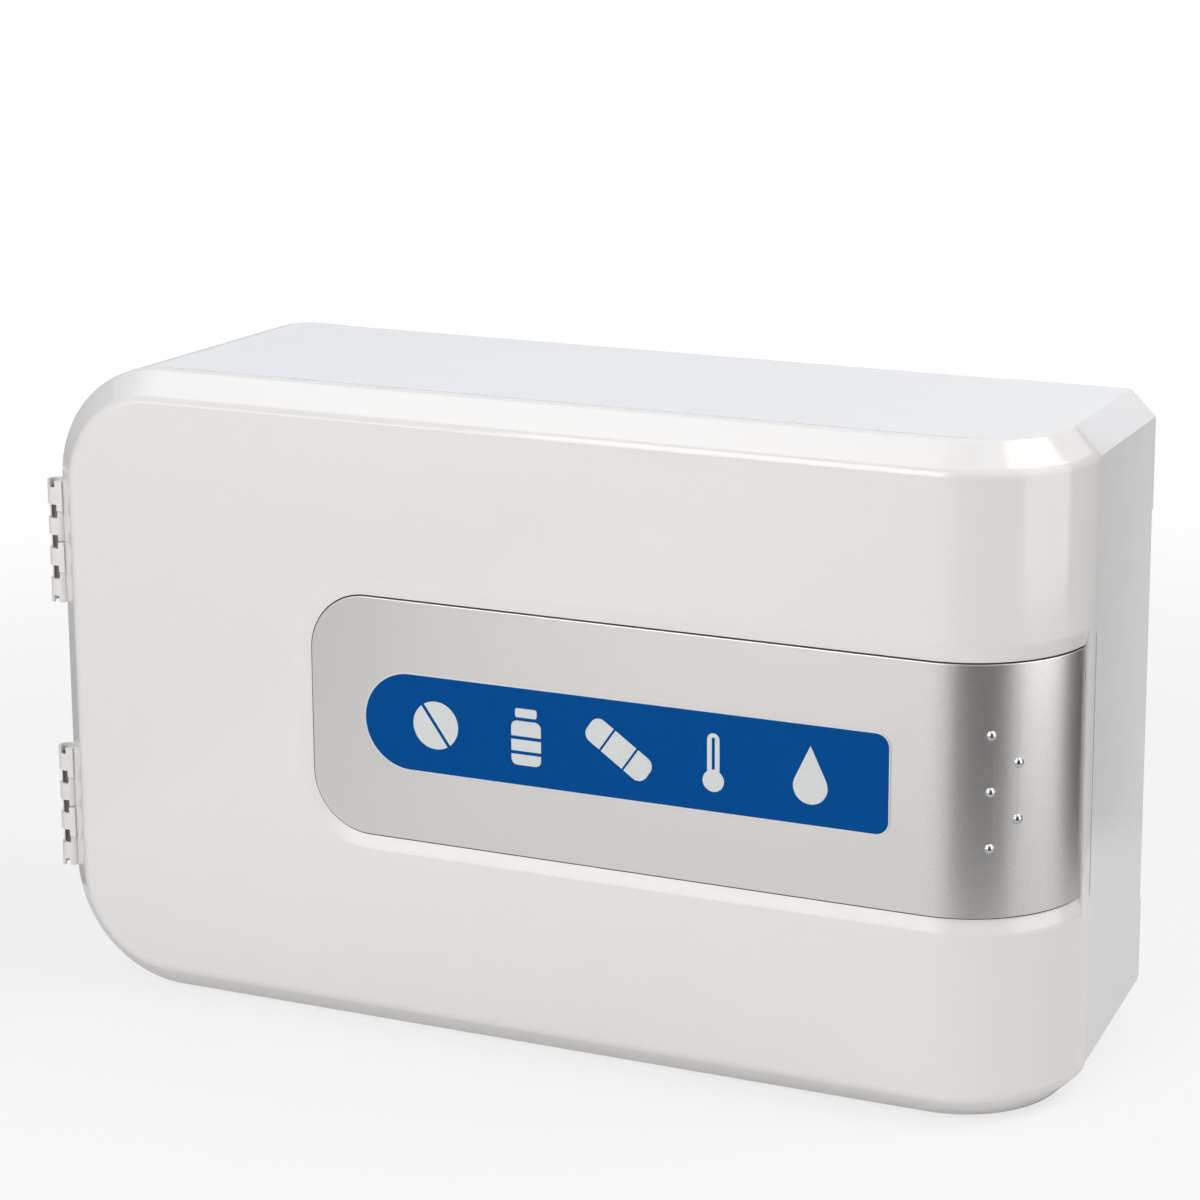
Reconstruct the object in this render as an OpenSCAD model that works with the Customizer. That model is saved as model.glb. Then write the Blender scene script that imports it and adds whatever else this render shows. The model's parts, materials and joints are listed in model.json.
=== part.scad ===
// Wall cabinet for first aid supplies, with a door that wraps round the right end.
// Millimetres. X runs to the right, Y from the door back to the wall, Z up.

/* [Cabinet] */
// Width from the door's left edge to its right side
case_w = 370; // [340:5:440]
// Height of the cabinet
case_h = 229; // [210:1:280]
// Depth from the door's face to the wall
case_d = 122; // [105:1:180]
// Radius of the round left corners
corner_r = 42.5; // [30:0.5:50]
// Radius of the bend at the right end, seen from above
bend_r = 44; // [38:1:56]
// Width of the 45 degree bevel along the door's edges
bevel = 9; // [6:0.5:10]
// Width of the body's lower right bevel at the wall
wall_bevel = 13; // [9:0.5:16]
// Thickness of the body's walls
body_wall = 2.5; // [2:0.1:4]
// How much lower the body's top is at the wall than at the door
top_draft = 3.5; // [0:0.5:6]
// How far each side of the body leans in towards the wall
side_draft = 2; // [0:0.5:4]
// Seam between the door and the body
seam = 0.5; // [0.3:0.1:1]
// Height of the door's lower edge above the table
door_lift = 0.6; // [0.4:0.1:2]

/* [Door] */
// Depth of the door's edge, from the face to the seam
door_edge = 11.5; // [11:0.5:16]
// Thickness of the door's wall
door_wall = 2.5; // [2:0.1:3.5]
// Thickness of the wall that closes the door's right end
end_wall = 4.5; // [3:0.5:6]

/* [Finger gap] */
// Height of the finger gap
gap_h = 97; // [60:1:120]
// How far the door's end is cut back at the finger gap
gap_door = 0.5; // [0.2:0.1:1.5]
// How far the body's edge is cut back at the finger gap
gap_body = 2.4; // [1:0.1:4]
// Length of the curved run at each end of the finger gap
gap_run = 5; // [2:0.5:10]

/* [Trim panel] */
// Distance from the door's left edge to the panel
panel_x = 104; // [90:1:125]
// Height of the panel
panel_h = 85.3; // [60:0.1:100]
// Radius of the panel's left corners
panel_r = 21; // [10:0.5:28]
// Thickness of the panel
panel_t = 1.2; // [0.8:0.1:1.5]
// How deep the panel's face lies below the door's face
panel_sink = 1; // [0.5:0.1:1.5]
// Gap round the panel
panel_gap = 0.4; // [0.2:0.1:0.8]
// Angle on the bend at which the panel ends
panel_end = 81; // [70:1:84]
// Width of the sloping rim of the recess
slope_w = 5.5; // [3:0.5:7]
// Depth of the sloping rim of the recess
slope_drop = 1.6; // [0.5:0.1:2]
// Thickness of the wall behind the panel
pan_wall = 2.2; // [1.5:0.1:3]
// Radius of the pegs behind the panel
peg_r = 1.5; // [1:0.1:2]
// Distance of the pegs from the panel's edges
peg_inset = 14; // [10:1:20]
// Length of the pegs behind the pan
peg_out = 2.6; // [1.5:0.1:4]
// Radius of the push-on clips
clip_r = 4.5; // [3:0.5:6]
// Thickness of the push-on clips
clip_t = 0.6; // [0.4:0.1:1]

/* [Label] */
// Distance from the panel's left edge to the label
label_inset = 20.4; // [10:0.1:30]
// Distance from the label's right end to the bend
label_end = 11; // [4:0.1:40]
// Height of the label
label_h = 35; // [20:1:50]
// Radius of the label's right corners
label_r = 5; // [0.5:0.5:12]
// Thickness of the label
label_t = 0.4; // [0.2:0.1:0.8]

/* [Grip studs] */
// Diameter of a stud's head
stud_d = 3.5; // [2.5:0.5:5]
// Height of a stud's head
stud_rise = 1.1; // [0.6:0.1:1.5]
// Radius of a stud's shank
stud_shank_r = 0.8; // [0.5:0.1:1]
// Height between two studs of one column
stud_pitch = 19; // [12:0.5:24]
// Angle on the bend of the first column of studs
stud_angle = 29; // [20:1:36]
// Angle between the two columns of studs
stud_step = 12.5; // [8:0.5:20]

/* [Hinges] */
// Height of a hinge
hinge_h = 45.1; // [36:0.1:52]
// Distance of the lower hinge from the cabinet's base
lower_hinge_z = 39.7; // [36:0.1:48]
// Distance of the upper hinge from the cabinet's top
upper_hinge_drop = 44.4; // [38:0.1:54]
// Radius of the hinge's knuckles
knuckle_r = 3.4; // [2.8:0.1:3.6]
// Distance of the hinge's axis from the door's left edge
hinge_out = 4; // [4:0.1:5]
// Play between two knuckles
knuckle_play = 0.3; // [0.2:0.05:0.6]
// Radius of the hinge pin
pin_r = 2.3; // [1:0.05:2.4]
// Radial play of the pin in the door's knuckles
pin_play = 0.05; // [0.02:0.01:0.08]
// Radial play of the pin in the body's knuckles
pin_grip = 0.02; // [0.01:0.01:0.03]
// Thickness of a hinge leaf
leaf_t = 1.5; // [1:0.1:2]
// Length of a hinge leaf
leaf_w = 16; // [12:1:22]
// Height of the windows between the knuckles
window_h = 5; // [3:0.5:6]
// Depth of the hollow at each end of the hinge
hollow_depth = 2.5; // [1:0.5:3.5]
// Radius of the hollow at each end of the hinge
hollow_r = 2.5; // [1.8:0.1:2.8]
// Distance of the screws from the leaf's free edge
leaf_screw_inset = 6; // [4:0.5:8]
// Distance of the screws from the hinge's ends
leaf_screw_end = 9; // [5:0.5:14]

/* [Screws] */
// Radius of a hinge screw's shank
screw_r = 1.1; // [0.8:0.1:1.4]
// Radius of a hinge screw's head
screw_head_r = 2.3; // [1.8:0.1:2.6]
// Length of a hinge screw
screw_l = 7; // [5:0.5:7.5]
// Length of a catch screw
catch_screw_l = 5.5; // [4:0.5:6]
// Radial play round a screw
screw_play = 0.02; // [0.01:0.01:0.05]

/* [Catch] */
// How far the middle of the catch lies below the middle of the finger gap
catch_drop = 6.8; // [0:0.1:12]
// Height of the strike plate
strike_h = 20; // [16:1:26]
// Width of the strike plate
strike_w = 7; // [5:0.5:7]
// Thickness of the strike plate
strike_t = 1; // [0.6:0.1:1.2]
// Gap between the strike plate and the pole plates
catch_gap = 0.3; // [0.2:0.1:0.6]
// Height of the magnet
magnet_h = 20; // [14:1:24]
// Thickness of the magnet between its pole plates
magnet_t = 3.6; // [2:0.1:4]
// Depth of the magnet
magnet_d = 8; // [5:0.5:12]
// Thickness of a pole plate
pole_t = 1.2; // [0.8:0.1:1.5]
// Thickness of the catch housing's walls
housing_wall = 1.2; // [0.8:0.1:1.4]
// Height of each screw ear of the housing
ear_h = 8; // [7:0.5:9]
// Thickness of a screw ear
ear_t = 2.5; // [2:0.1:3]
// Thickness of the flange inside the body's right front edge
flange_t = 2.5; // [1.5:0.1:4]

/* [Inside] */
// Height of the shelf's underside above the catch
shelf_rise = 6.7; // [5:0.1:20]
// Thickness of the shelf
shelf_t = 2.5; // [1.5:0.1:4]
// Distance from the door's face to the shelf's front edge
shelf_front = 20; // [18:1:30]
// Height of the shelf's front lip
shelf_lip = 6; // [3:0.5:12]
// Thickness of a divider
divider_t = 2; // [1.5:0.1:3]
// Place of the lower left divider, from the door's left edge
divider_a = 122; // [100:1:140]
// Place of the lower right divider, from the door's left edge
divider_b = 244; // [220:1:260]
// Place of the upper divider, from the door's left edge
divider_c = 183; // [160:1:210]
// Width and height of the ledges under the shelf
ledge = 4; // [3:0.5:5]
// Thickness of a guide rib
rib_t = 1.5; // [1:0.1:2.5]
// Height of a guide rib
rib_h = 4; // [3:0.5:8]
// Clearance round the shelf and the dividers
slack = 0.3; // [0.2:0.05:0.5]
// Radius of the door bumpers
bumper_r = 3; // [2:0.5:4]

/* [Wall mounting] */
// Distance between the wall screws, side to side
wall_screw_w = 300; // [260:5:305]
// Distance between the wall screws, up and down
wall_screw_h = 160; // [140:5:170]
// Radius of a wall screw hole
wall_hole_r = 2.5; // [2:0.25:3.5]
// Height of the wall pads behind the body
pad_t = 3; // [1:0.5:5]
// Width of a wall pad
pad_w = 56; // [50:1:70]
// Height of a wall pad
pad_h = 42; // [40:1:50]

/* [Hidden] */
$fn = 96;

white = [0.93, 0.93, 0.92];
hinge_white = [0.9, 0.89, 0.87];
silver = [0.72, 0.71, 0.69];
steel = [0.62, 0.63, 0.65];
label_blue = [0.0, 0.31, 0.58];
lift_white = [0.88, 0.9, 0.92];
dark = [0.15, 0.15, 0.16];

// thin slice used for lofts, and overshoot used for cuts
slice = 0.01;
over = 1;

// the bend's axis and the body's front and back planes
bend_x = case_w - bend_r;
body_front = door_edge + seam;
body_back = case_d - pad_t;
body_run = body_back - body_front;
body_bend_r = bend_r - door_edge - seam;
body_edge_y = bend_r + seam;

// the hinge axis lies in the middle of the seam
hinge_x = -hinge_out;
hinge_y = door_edge + seam / 2;
upper_hinge_z = case_h - upper_hinge_drop - hinge_h;
knuckle_pitch = hinge_h / 4;
// half width of the slots in the hinge's ends
end_slot = knuckle_r * 0.3;
// how far the windows reach past the hinge axis
window_reach = knuckle_r * 0.45;

// the recess and the pan behind it
panel_back = panel_sink + panel_t;
recess_edge = slope_w + panel_gap;
recess_turn = panel_end + panel_gap / bend_r * 180 / PI;
grip_z = (case_h + door_lift) / 2;
label_w = bend_x - panel_x - label_inset - label_end;
pan_edge = recess_edge + door_wall;
pan_back = panel_back + pan_wall;
end_turn = 90 - end_wall / bend_r * 180 / PI;

// the flange that stiffens the body's right front edge
flange_y = body_edge_y + gap_body + slack;
flange_w = door_edge + seam;

// the catch: magnet and pole plates in the housing behind the flange
strike_y = bend_r - gap_door;
catch_z = grip_z - catch_drop;
pole_front = strike_y + strike_t + catch_gap;
housing_y = flange_y + flange_t;
magnet_y = housing_y + housing_wall;
magnet_slack = 0.1;
catch_core_w = magnet_t + 2 * pole_t + 2 * magnet_slack;
catch_core_h = magnet_h + 2 * magnet_slack;
housing_w = catch_core_w + 2 * housing_wall;
housing_h = catch_core_h + 2 * housing_wall;
housing_d = magnet_y + magnet_d + housing_wall - housing_y;
strike_x = case_w - side_in(housing_y + housing_d) - slack / 2 - housing_w / 2;
ear_y = housing_y + housing_d / 2;
ear_x = strike_x - ear_t / 2;

// the shelf lies above the catch, on ledges that reach from the side walls
shelf_z = catch_z + housing_h / 2 + ear_h + shelf_rise;
ledge_w = body_wall + side_draft + ledge;

// how far a side of the body leans in at depth y, and how far its top drops
function lean(y) = side_draft * (y - body_front) / body_run;
function drop(y) = top_draft * (y - body_front) / body_run;
function low_bevel(y) = bevel + (wall_bevel - bevel) * (y - body_front) / body_run;
// leg of a 45 degree bevel after the outline is set in by t
function leg(bevel_w, t) = bevel_w + t * (sqrt(2) - 1);
// inner faces of the body's side and top at depth y
function side_in(y) = body_wall + lean(y);
function top_in(y) = case_h - body_wall - drop(y);
// depth of an S-shaped ramp that falls from 0 to 1
function ramp(u) = (1 - cos(180 * u)) / 2;
// lower and upper end of hinge knuckle number i, counted from the top
function knuckle_low(i) = hinge_h - (i + 1) * knuckle_pitch + (i == 3 ? 0 : knuckle_play / 2);
function knuckle_high(i) = hinge_h - i * knuckle_pitch - (i == 0 ? 0 : knuckle_play / 2);
function reversed(list) = [for (i = [len(list) - 1 : -1 : 0]) list[i]];

// moves the cabinet so that its origin is at the middle of its footprint
module placed() {
    translate([(hinge_out + knuckle_r - case_w) / 2, -case_d / 2, 0]) children();
}

// solid with the door's outline: flat front, round left corners and a turn round the bend
// prof lists [distance in from the outline, depth below the face], from front to back
module wrapped(x0, z0, z1, r, prof, turn = 90) {
    first = prof[0][1];
    last = prof[len(prof) - 1][1];
    low = [for (p = prof) [p[1], z0 + p[0]]];
    high = [for (p = prof) [p[1], z1 - p[0]]];
    translate([x0 + r, 0, 0]) rotate([90, 0, 90]) linear_extrude(bend_x - x0 - r)
        polygon(concat(low, reversed(high)));
    translate([0, 0, z0 + r]) linear_extrude(z1 - z0 - 2 * r)
        polygon(concat([for (p = prof) [x0 + p[0], p[1]]], [[x0 + r, last], [x0 + r, first]]));
    for (corner = [[z0 + r, 90], [z1 - r, 180]])
        translate([x0 + r, 0, corner[0]]) rotate([-90, 0, 0]) rotate([0, 0, corner[1]])
            rotate_extrude(angle = 90)
                polygon(concat([[0, first]], [for (p = prof) [r - p[0], p[1]]], [[0, last]]));
    translate([bend_x, bend_r, 0]) rotate([0, 0, -90]) rotate_extrude(angle = turn)
        polygon(concat([for (p = low) [bend_r - p[0], p[1]]],
                       [for (p = reversed(high)) [bend_r - p[0], p[1]]]));
}

// the body's outline at depth y, set in by t, seen from the front
module body_outline(y, t) {
    right = case_w - lean(y);
    top = case_h - drop(y);
    r = corner_r - lean(y);
    low = leg(low_bevel(y), t);
    high = leg(bevel, t);
    for (z = [r, top - r]) translate([corner_r, z]) circle(r - t, $fn = 48);
    translate([corner_r - r + t, r]) square([r - t, top - 2 * r]);
    polygon([[corner_r, t], [right - low, t], [right - t, low],
             [right - t, top - high], [right - high, top - t], [corner_r, top - t]]);
}

// upright slab that starts at depth y and has the body's outline there
module body_slab(y, t) {
    translate([0, y + slice, 0]) rotate([90, 0, 0]) linear_extrude(slice) body_outline(y, t);
}

// the body's space set in by t, from depth y0 to depth y1
module body_space(t, y0, y1) {
    hull() {
        body_slab(y0, t);
        body_slab(y1 - slice, t);
    }
}

// what the closed door takes from the body's right front corner
module door_zone() {
    translate([0, 0, -over]) linear_extrude(case_h + 2 * over) difference() {
        translate([bend_x, 0]) square([bend_r + over, body_edge_y]);
        translate([bend_x, bend_r]) circle(body_bend_r);
    }
}

// cut with S-shaped ends at the finger gap, from depth y to y + depth
module finger_cut(y, depth) {
    steps = 8;
    up = [for (i = [0 : steps]) [y + depth * ramp(i / steps), gap_run * i / steps]];
    low = grip_z - gap_h / 2;
    high = grip_z + gap_h / 2;
    translate([case_w - flange_w - over, 0, 0]) rotate([90, 0, 90])
        linear_extrude(flange_w + 2 * over)
            polygon(concat([for (p = up) [p[0], low + p[1]]],
                           [for (p = reversed(up)) [p[0], high - p[1]]]));
}

module hinge_heights() {
    for (z = [lower_hinge_z, upper_hinge_z]) translate([0, 0, z]) children();
}

// places of the two screws of each hinge leaf
module leaf_screw_places() {
    hinge_heights() for (z = [leaf_screw_end, hinge_h - leaf_screw_end])
        translate([leaf_w - leaf_screw_inset, 0, z]) children();
}

// countersunk screw, head at the origin and shank along -Z
module screw(length, play = 0) {
    rotate_extrude() polygon([[0, 0], [screw_head_r + play, 0],
        [screw_r + play, screw_r - screw_head_r], [screw_r + play, -length - play],
        [0, -length - play]]);
}

// block behind a hinge leaf that takes its screws
module leaf_block(y0, y1) {
    hinge_heights() translate([0, y0, -rib_t])
        cube([leaf_w + rib_t, y1 - y0, hinge_h + 2 * rib_t]);
}

// pocket of a hinge leaf
module leaf_pocket(y0, y1) {
    hinge_heights() translate([-over, y0, -slack / 2])
        cube([leaf_w + slack + over, y1 - y0, hinge_h + slack]);
}

module catch_screw_places() {
    for (side = [-1, 1])
        translate([ear_x, ear_y, catch_z + side * (housing_h + ear_h) / 2])
            rotate([0, -90, 0]) children();
}

module divider_guides(x, y0, y1, z) {
    for (side = [-1, 1])
        translate([x + side * (divider_t / 2 + slack + rib_t / 2) - rib_t / 2, y0, z])
            cube([rib_t, y1 - y0, rib_h]);
}

module wall_holes() {
    for (sx = [-1, 1], sz = [-1, 1])
        translate([case_w / 2 + sx * wall_screw_w / 2, case_d + over,
                   (case_h - top_draft) / 2 + sz * wall_screw_h / 2])
            rotate([90, 0, 0]) cylinder(h = pad_t + body_wall + 2 * over, r = wall_hole_r);
}

// the pads are rooted in the back wall and stand a little inside the body's outline
module wall_pads() {
    translate([0, case_d, 0]) rotate([90, 0, 0]) linear_extrude(pad_t + body_wall / 2) intersection() {
        body_outline(body_back, slack);
        for (x = [0, case_w - pad_w], z = [0, case_h - top_draft - pad_h])
            translate([x, z]) square([pad_w, pad_h]);
    }
}

// what stands on the inner faces of the body
module body_fittings() {
    leaf_block(body_front + leaf_t, body_front + leaf_t + screw_l + rib_t);
    translate([case_w - flange_w, flange_y, 0]) cube([flange_w, flange_t, case_h]);
    for (place = [[0, shelf_front], [case_w - ledge_w, housing_y + housing_d + rib_t]])
        translate([place[0], place[1], shelf_z - ledge]) cube([ledge_w, body_back, ledge]);
    for (x = [divider_a, divider_b])
        divider_guides(x, body_edge_y, body_back, body_wall - slice);
    for (side = [-1, 1])
        translate([ear_x + ear_t, ear_y - ear_h / 2,
                   catch_z + side * (housing_h + ear_h) / 2 - ear_h / 2])
            cube([case_w - ear_x, ear_h, ear_h]);
}

module cabinet_body() {
    color(white) placed() difference() {
        union() {
            body_space(0, body_front, body_back);
            wall_pads();
        }
        difference() {
            body_space(body_wall, body_front - over / 2, body_back - body_wall);
            body_fittings();
        }
        door_zone();
        finger_cut(body_edge_y - over / 2, gap_body + over / 2);
        leaf_pocket(body_front - over, body_front + leaf_t);
        translate([0, body_front, 0]) leaf_screw_places() rotate([90, 0, 0])
            screw(screw_l, screw_play);
        translate([strike_x - catch_core_w / 2, flange_y - over, catch_z - catch_core_h / 2])
            cube([catch_core_w, flange_t + 2 * over, catch_core_h]);
        catch_screw_places() screw(catch_screw_l, screw_play);
        wall_holes();
    }
}

// the shelf's outline, drawn in by t
module shelf_outline(t) {
    y0 = shelf_front + t;
    y1 = body_back - body_wall - slack;
    behind = housing_y + slack;
    polygon([[side_in(y0) + slack + t, y0], [bend_x, y0], [bend_x, y1],
             [side_in(y1) + slack, y1]]);
    translate([bend_x, bend_r]) circle(bend_r - shelf_front - t);
    polygon([[bend_x, bend_r], [bend_x + bend_r - shelf_front - t, bend_r],
             [bend_x + bend_r - shelf_front - t, y1], [bend_x, y1]]);
    polygon([[bend_x, behind], [case_w - side_in(behind) - slack, behind],
             [case_w - side_in(y1) - slack, y1], [bend_x, y1]]);
}

module shelf() {
    lip_x = leaf_w + rib_t + slack;
    color(lift_white) placed() {
        translate([0, 0, shelf_z]) linear_extrude(shelf_t) shelf_outline(0);
        translate([0, 0, shelf_z]) linear_extrude(shelf_t + shelf_lip) intersection() {
            difference() {
                shelf_outline(0);
                shelf_outline(shelf_t);
            }
            translate([lip_x, 0]) square([case_w, bend_r]);
        }
        divider_guides(divider_c, body_edge_y, body_back - body_wall - slack,
                       shelf_z + shelf_t - slice);
    }
}

// upright plate at x, from the floor z0 up to z1 or to the sloping top of the body
module divider(x, z0, z1) {
    y0 = shelf_front + shelf_t + slack;
    y1 = body_back - body_wall - slack;
    color(lift_white) placed()
        translate([x - divider_t / 2, 0, 0]) rotate([90, 0, 90]) linear_extrude(divider_t)
            polygon([[y0, z0], [y1, z0], [y1, min(z1, top_in(y1)) - slack],
                     [y0, min(z1, top_in(y0)) - slack]]);
}

module lower_left_divider() { divider(divider_a, body_wall, shelf_z); }
module lower_right_divider() { divider(divider_b, body_wall, shelf_z); }
module upper_divider() { divider(divider_c, shelf_z + shelf_t, case_h); }

// knuckle number i of a hinge with the web that joins it to its leaf, from depth y0 to y1
module knuckle(i, y0, y1) {
    translate([hinge_x, hinge_y, knuckle_low(i)])
        cylinder(h = knuckle_high(i) - knuckle_low(i), r = knuckle_r);
    translate([hinge_x, y0, knuckle_low(i)])
        cube([hinge_out - slack / 2, y1 - y0, knuckle_high(i) - knuckle_low(i)]);
}

// the pin's bore, the hollow and slotted ends, and the windows between the knuckles
module knuckle_cuts(bore_r) {
    reach = knuckle_r + over;
    translate([hinge_x, hinge_y, -over]) cylinder(h = hinge_h + 2 * over, r = bore_r);
    for (z = [-over, hinge_h - hollow_depth]) translate([hinge_x, hinge_y, z]) {
        cylinder(h = hollow_depth + over, r = hollow_r);
        translate([-end_slot, -reach, 0]) cube([2 * end_slot, reach, hollow_depth + over]);
    }
    for (i = [1 : 3])
        translate([hinge_x - reach, hinge_y - reach, i * knuckle_pitch - window_h / 2])
            cube([reach + window_reach, reach, window_h]);
}

module leaf_plate(y) {
    translate([-slack, y, 0]) cube([leaf_w + slack, leaf_t, hinge_h]);
}

// leaf that stands on the body, with the second and fourth knuckle
module body_leaf(z) {
    color(hinge_white) placed() difference() {
        translate([0, 0, z]) difference() {
            union() {
                leaf_plate(body_front);
                for (i = [1, 3]) knuckle(i, body_front, body_front + leaf_t);
            }
            knuckle_cuts(pin_r + pin_grip);
        }
        translate([0, body_front, 0]) leaf_screw_places() rotate([90, 0, 0])
            screw(screw_l, screw_play);
    }
}

// leaf that stands on the door, with the first and third knuckle
module door_leaf(z) {
    color(hinge_white) placed() difference() {
        translate([0, 0, z]) difference() {
            union() {
                leaf_plate(door_edge - leaf_t);
                for (i = [0, 2]) knuckle(i, hinge_y - knuckle_r, door_edge);
            }
            knuckle_cuts(pin_r + pin_play);
        }
        translate([0, door_edge, 0]) leaf_screw_places() rotate([-90, 0, 0])
            screw(screw_l, screw_play);
    }
}

module hinge_pin(z) {
    color(steel) placed() translate([hinge_x, hinge_y, z + hollow_depth])
        cylinder(h = hinge_h - 2 * hollow_depth, r = pin_r);
}

module upper_hinge_body_leaf() { body_leaf(upper_hinge_z); }
module lower_hinge_body_leaf() { body_leaf(lower_hinge_z); }
module upper_hinge_door_leaf() { door_leaf(upper_hinge_z); }
module lower_hinge_door_leaf() { door_leaf(lower_hinge_z); }
module upper_hinge_pin() { hinge_pin(upper_hinge_z); }
module lower_hinge_pin() { hinge_pin(lower_hinge_z); }

module body_leaf_screws() {
    color(steel) placed() translate([0, body_front, 0]) leaf_screw_places()
        rotate([90, 0, 0]) screw(screw_l);
}

module door_leaf_screws() {
    color(steel) placed() translate([0, door_edge, 0]) leaf_screw_places()
        rotate([-90, 0, 0]) screw(screw_l);
}

module catch_housing() {
    color(white) placed() difference() {
        union() {
            translate([strike_x - housing_w / 2, housing_y, catch_z - housing_h / 2])
                cube([housing_w, housing_d, housing_h]);
            translate([ear_x, ear_y - ear_h / 2, catch_z - housing_h / 2 - ear_h])
                cube([ear_t, ear_h, housing_h + 2 * ear_h]);
        }
        translate([strike_x - catch_core_w / 2, housing_y - over, catch_z - catch_core_h / 2])
            cube([catch_core_w, magnet_y + magnet_d + magnet_slack - housing_y + over,
                  catch_core_h]);
        catch_screw_places() screw(catch_screw_l, screw_play);
    }
}

module catch_magnet() {
    color(dark) placed() translate([strike_x - magnet_t / 2, magnet_y, catch_z - magnet_h / 2])
        cube([magnet_t, magnet_d, magnet_h]);
}

module catch_pole_plates() {
    color(steel) placed() for (side = [-1, 1])
        translate([strike_x + side * (magnet_t + pole_t) / 2 - pole_t / 2, pole_front,
                   catch_z - magnet_h / 2])
            cube([pole_t, magnet_y + magnet_d - pole_front, magnet_h]);
}

module catch_screws() {
    color(steel) placed() catch_screw_places() screw(catch_screw_l);
}

module door_bumpers() {
    color(dark) placed() for (z = [corner_r, case_h - corner_r])
        translate([strike_x, flange_y, z]) rotate([90, 0, 0])
            cylinder(h = flange_y - bend_r - slack, r = bumper_r);
}

// the recess of the trim panel, cut from the door's face down to the panel's back
module panel_recess() {
    wrapped(panel_x - recess_edge, grip_z - panel_h / 2 - recess_edge,
            grip_z + panel_h / 2 + recess_edge, panel_r + recess_edge,
            [[0, -over], [0, 0], [slope_w, slope_drop], [slope_w, panel_back]], recess_turn);
}

// the thicker wall behind the recess
module panel_pan() {
    wrapped(panel_x - pan_edge, grip_z - panel_h / 2 - pan_edge,
            grip_z + panel_h / 2 + pan_edge, panel_r + pan_edge,
            [[0, door_wall / 2], [0, pan_back]]);
}

// places of the panel's pegs
module peg_places() {
    for (x = [panel_x + peg_inset, (panel_x + bend_x) / 2, bend_x - peg_inset],
         side = [-1, 1])
        translate([x, panel_back, grip_z + side * (panel_h / 2 - peg_inset)])
            rotate([-90, 0, 0]) children();
}

// block on the door's end wall that takes the strike's screw
module strike_boss() {
    translate([strike_x, bend_r, catch_z]) rotate([90, 0, 0])
        cylinder(h = screw_l + gap_door + rib_t, r = strike_w / 2);
}

module strike_screw_place() {
    translate([strike_x, strike_y + strike_t, catch_z]) rotate([-90, 0, 0]) children();
}

module door_shell() {
    inner = leg(bevel, door_wall);
    color(white) placed() difference() {
        wrapped(0, door_lift, case_h, corner_r, [[bevel, 0], [0, bevel], [0, door_edge]]);
        difference() {
            wrapped(0, door_lift, case_h, corner_r,
                    [[inner, door_wall], [door_wall, inner], [door_wall, door_edge + over]],
                    end_turn);
            panel_pan();
            leaf_block(door_wall / 2, door_edge - leaf_t);
            strike_boss();
        }
        panel_recess();
        peg_places() translate([0, 0, -over])
            cylinder(h = pan_wall + 2 * over, r = peg_r + screw_play);
        finger_cut(bend_r + slice, -gap_door - slice);
        leaf_pocket(door_edge - leaf_t, door_edge + over);
        translate([0, door_edge, 0]) leaf_screw_places() rotate([-90, 0, 0])
            screw(screw_l, screw_play);
        strike_screw_place() screw(screw_l, screw_play);
    }
}

// places of the studs: their heads lie on the panel's bend
module stud_places() {
    for (i = [-2 : 2])
        translate([bend_x, bend_r, grip_z + i * stud_pitch / 2])
            rotate([0, 0, stud_angle + (i % 2 == 0 ? 0 : stud_step)])
                translate([0, panel_sink - bend_r, 0]) rotate([90, 0, 0]) children();
}

module trim_panel() {
    color(silver) placed() difference() {
        union() {
            wrapped(panel_x, grip_z - panel_h / 2, grip_z + panel_h / 2, panel_r,
                    [[0, panel_sink], [0, panel_back]], panel_end);
            peg_places() cylinder(h = pan_wall + peg_out, r = peg_r);
        }
        stud_places() translate([0, 0, -panel_t - over])
            cylinder(h = panel_t + 2 * over, r = stud_shank_r + screw_play);
    }
}

module panel_clips() {
    color(steel) placed() peg_places() translate([0, 0, pan_wall]) difference() {
        cylinder(h = clip_t, r = clip_r);
        translate([0, 0, -over]) cylinder(h = clip_t + 2 * over, r = peg_r + screw_play);
    }
}

module label_plate() {
    half = label_h / 2;
    color(label_blue) placed() translate([panel_x + label_inset, panel_sink, grip_z])
        rotate([90, 0, 0]) linear_extrude(label_t) {
            translate([half, 0]) circle(half);
            translate([half, -half]) square([label_w - half - label_r, label_h]);
            translate([label_w - label_r, label_r - half]) square([label_r, label_h - 2 * label_r]);
            for (side = [-1, 1])
                translate([label_w - label_r, side * (half - label_r)]) circle(label_r);
        }
}

// domed stud, head up along Z
module stud() {
    head_r = stud_d / 2;
    dome_r = (head_r * head_r + stud_rise * stud_rise) / (2 * stud_rise);
    intersection() {
        translate([0, 0, stud_rise - dome_r]) sphere(dome_r);
        cylinder(h = stud_d, r = stud_d);
    }
    translate([0, 0, -panel_t]) cylinder(h = panel_t + stud_rise / 2, r = stud_shank_r);
}

module grip_studs() {
    color(steel) placed() stud_places() stud();
}

module strike_plate() {
    color(silver) placed() difference() {
        translate([strike_x - strike_w / 2, strike_y, catch_z - strike_h / 2])
            cube([strike_w, strike_t, strike_h]);
        strike_screw_place() screw(screw_l, screw_play);
    }
}

module strike_screw() {
    color(steel) placed() strike_screw_place() screw(screw_l);
}

cabinet_body();
shelf();
lower_left_divider();
lower_right_divider();
upper_divider();
upper_hinge_body_leaf();
lower_hinge_body_leaf();
upper_hinge_pin();
lower_hinge_pin();
body_leaf_screws();
catch_housing();
catch_magnet();
catch_pole_plates();
catch_screws();
door_bumpers();
door_shell();
trim_panel();
panel_clips();
label_plate();
grip_studs();
upper_hinge_door_leaf();
lower_hinge_door_leaf();
door_leaf_screws();
strike_plate();
strike_screw();
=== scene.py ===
import json
from math import atan2, cos, degrees, pi, radians, sin

import bmesh
import bpy

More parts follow.
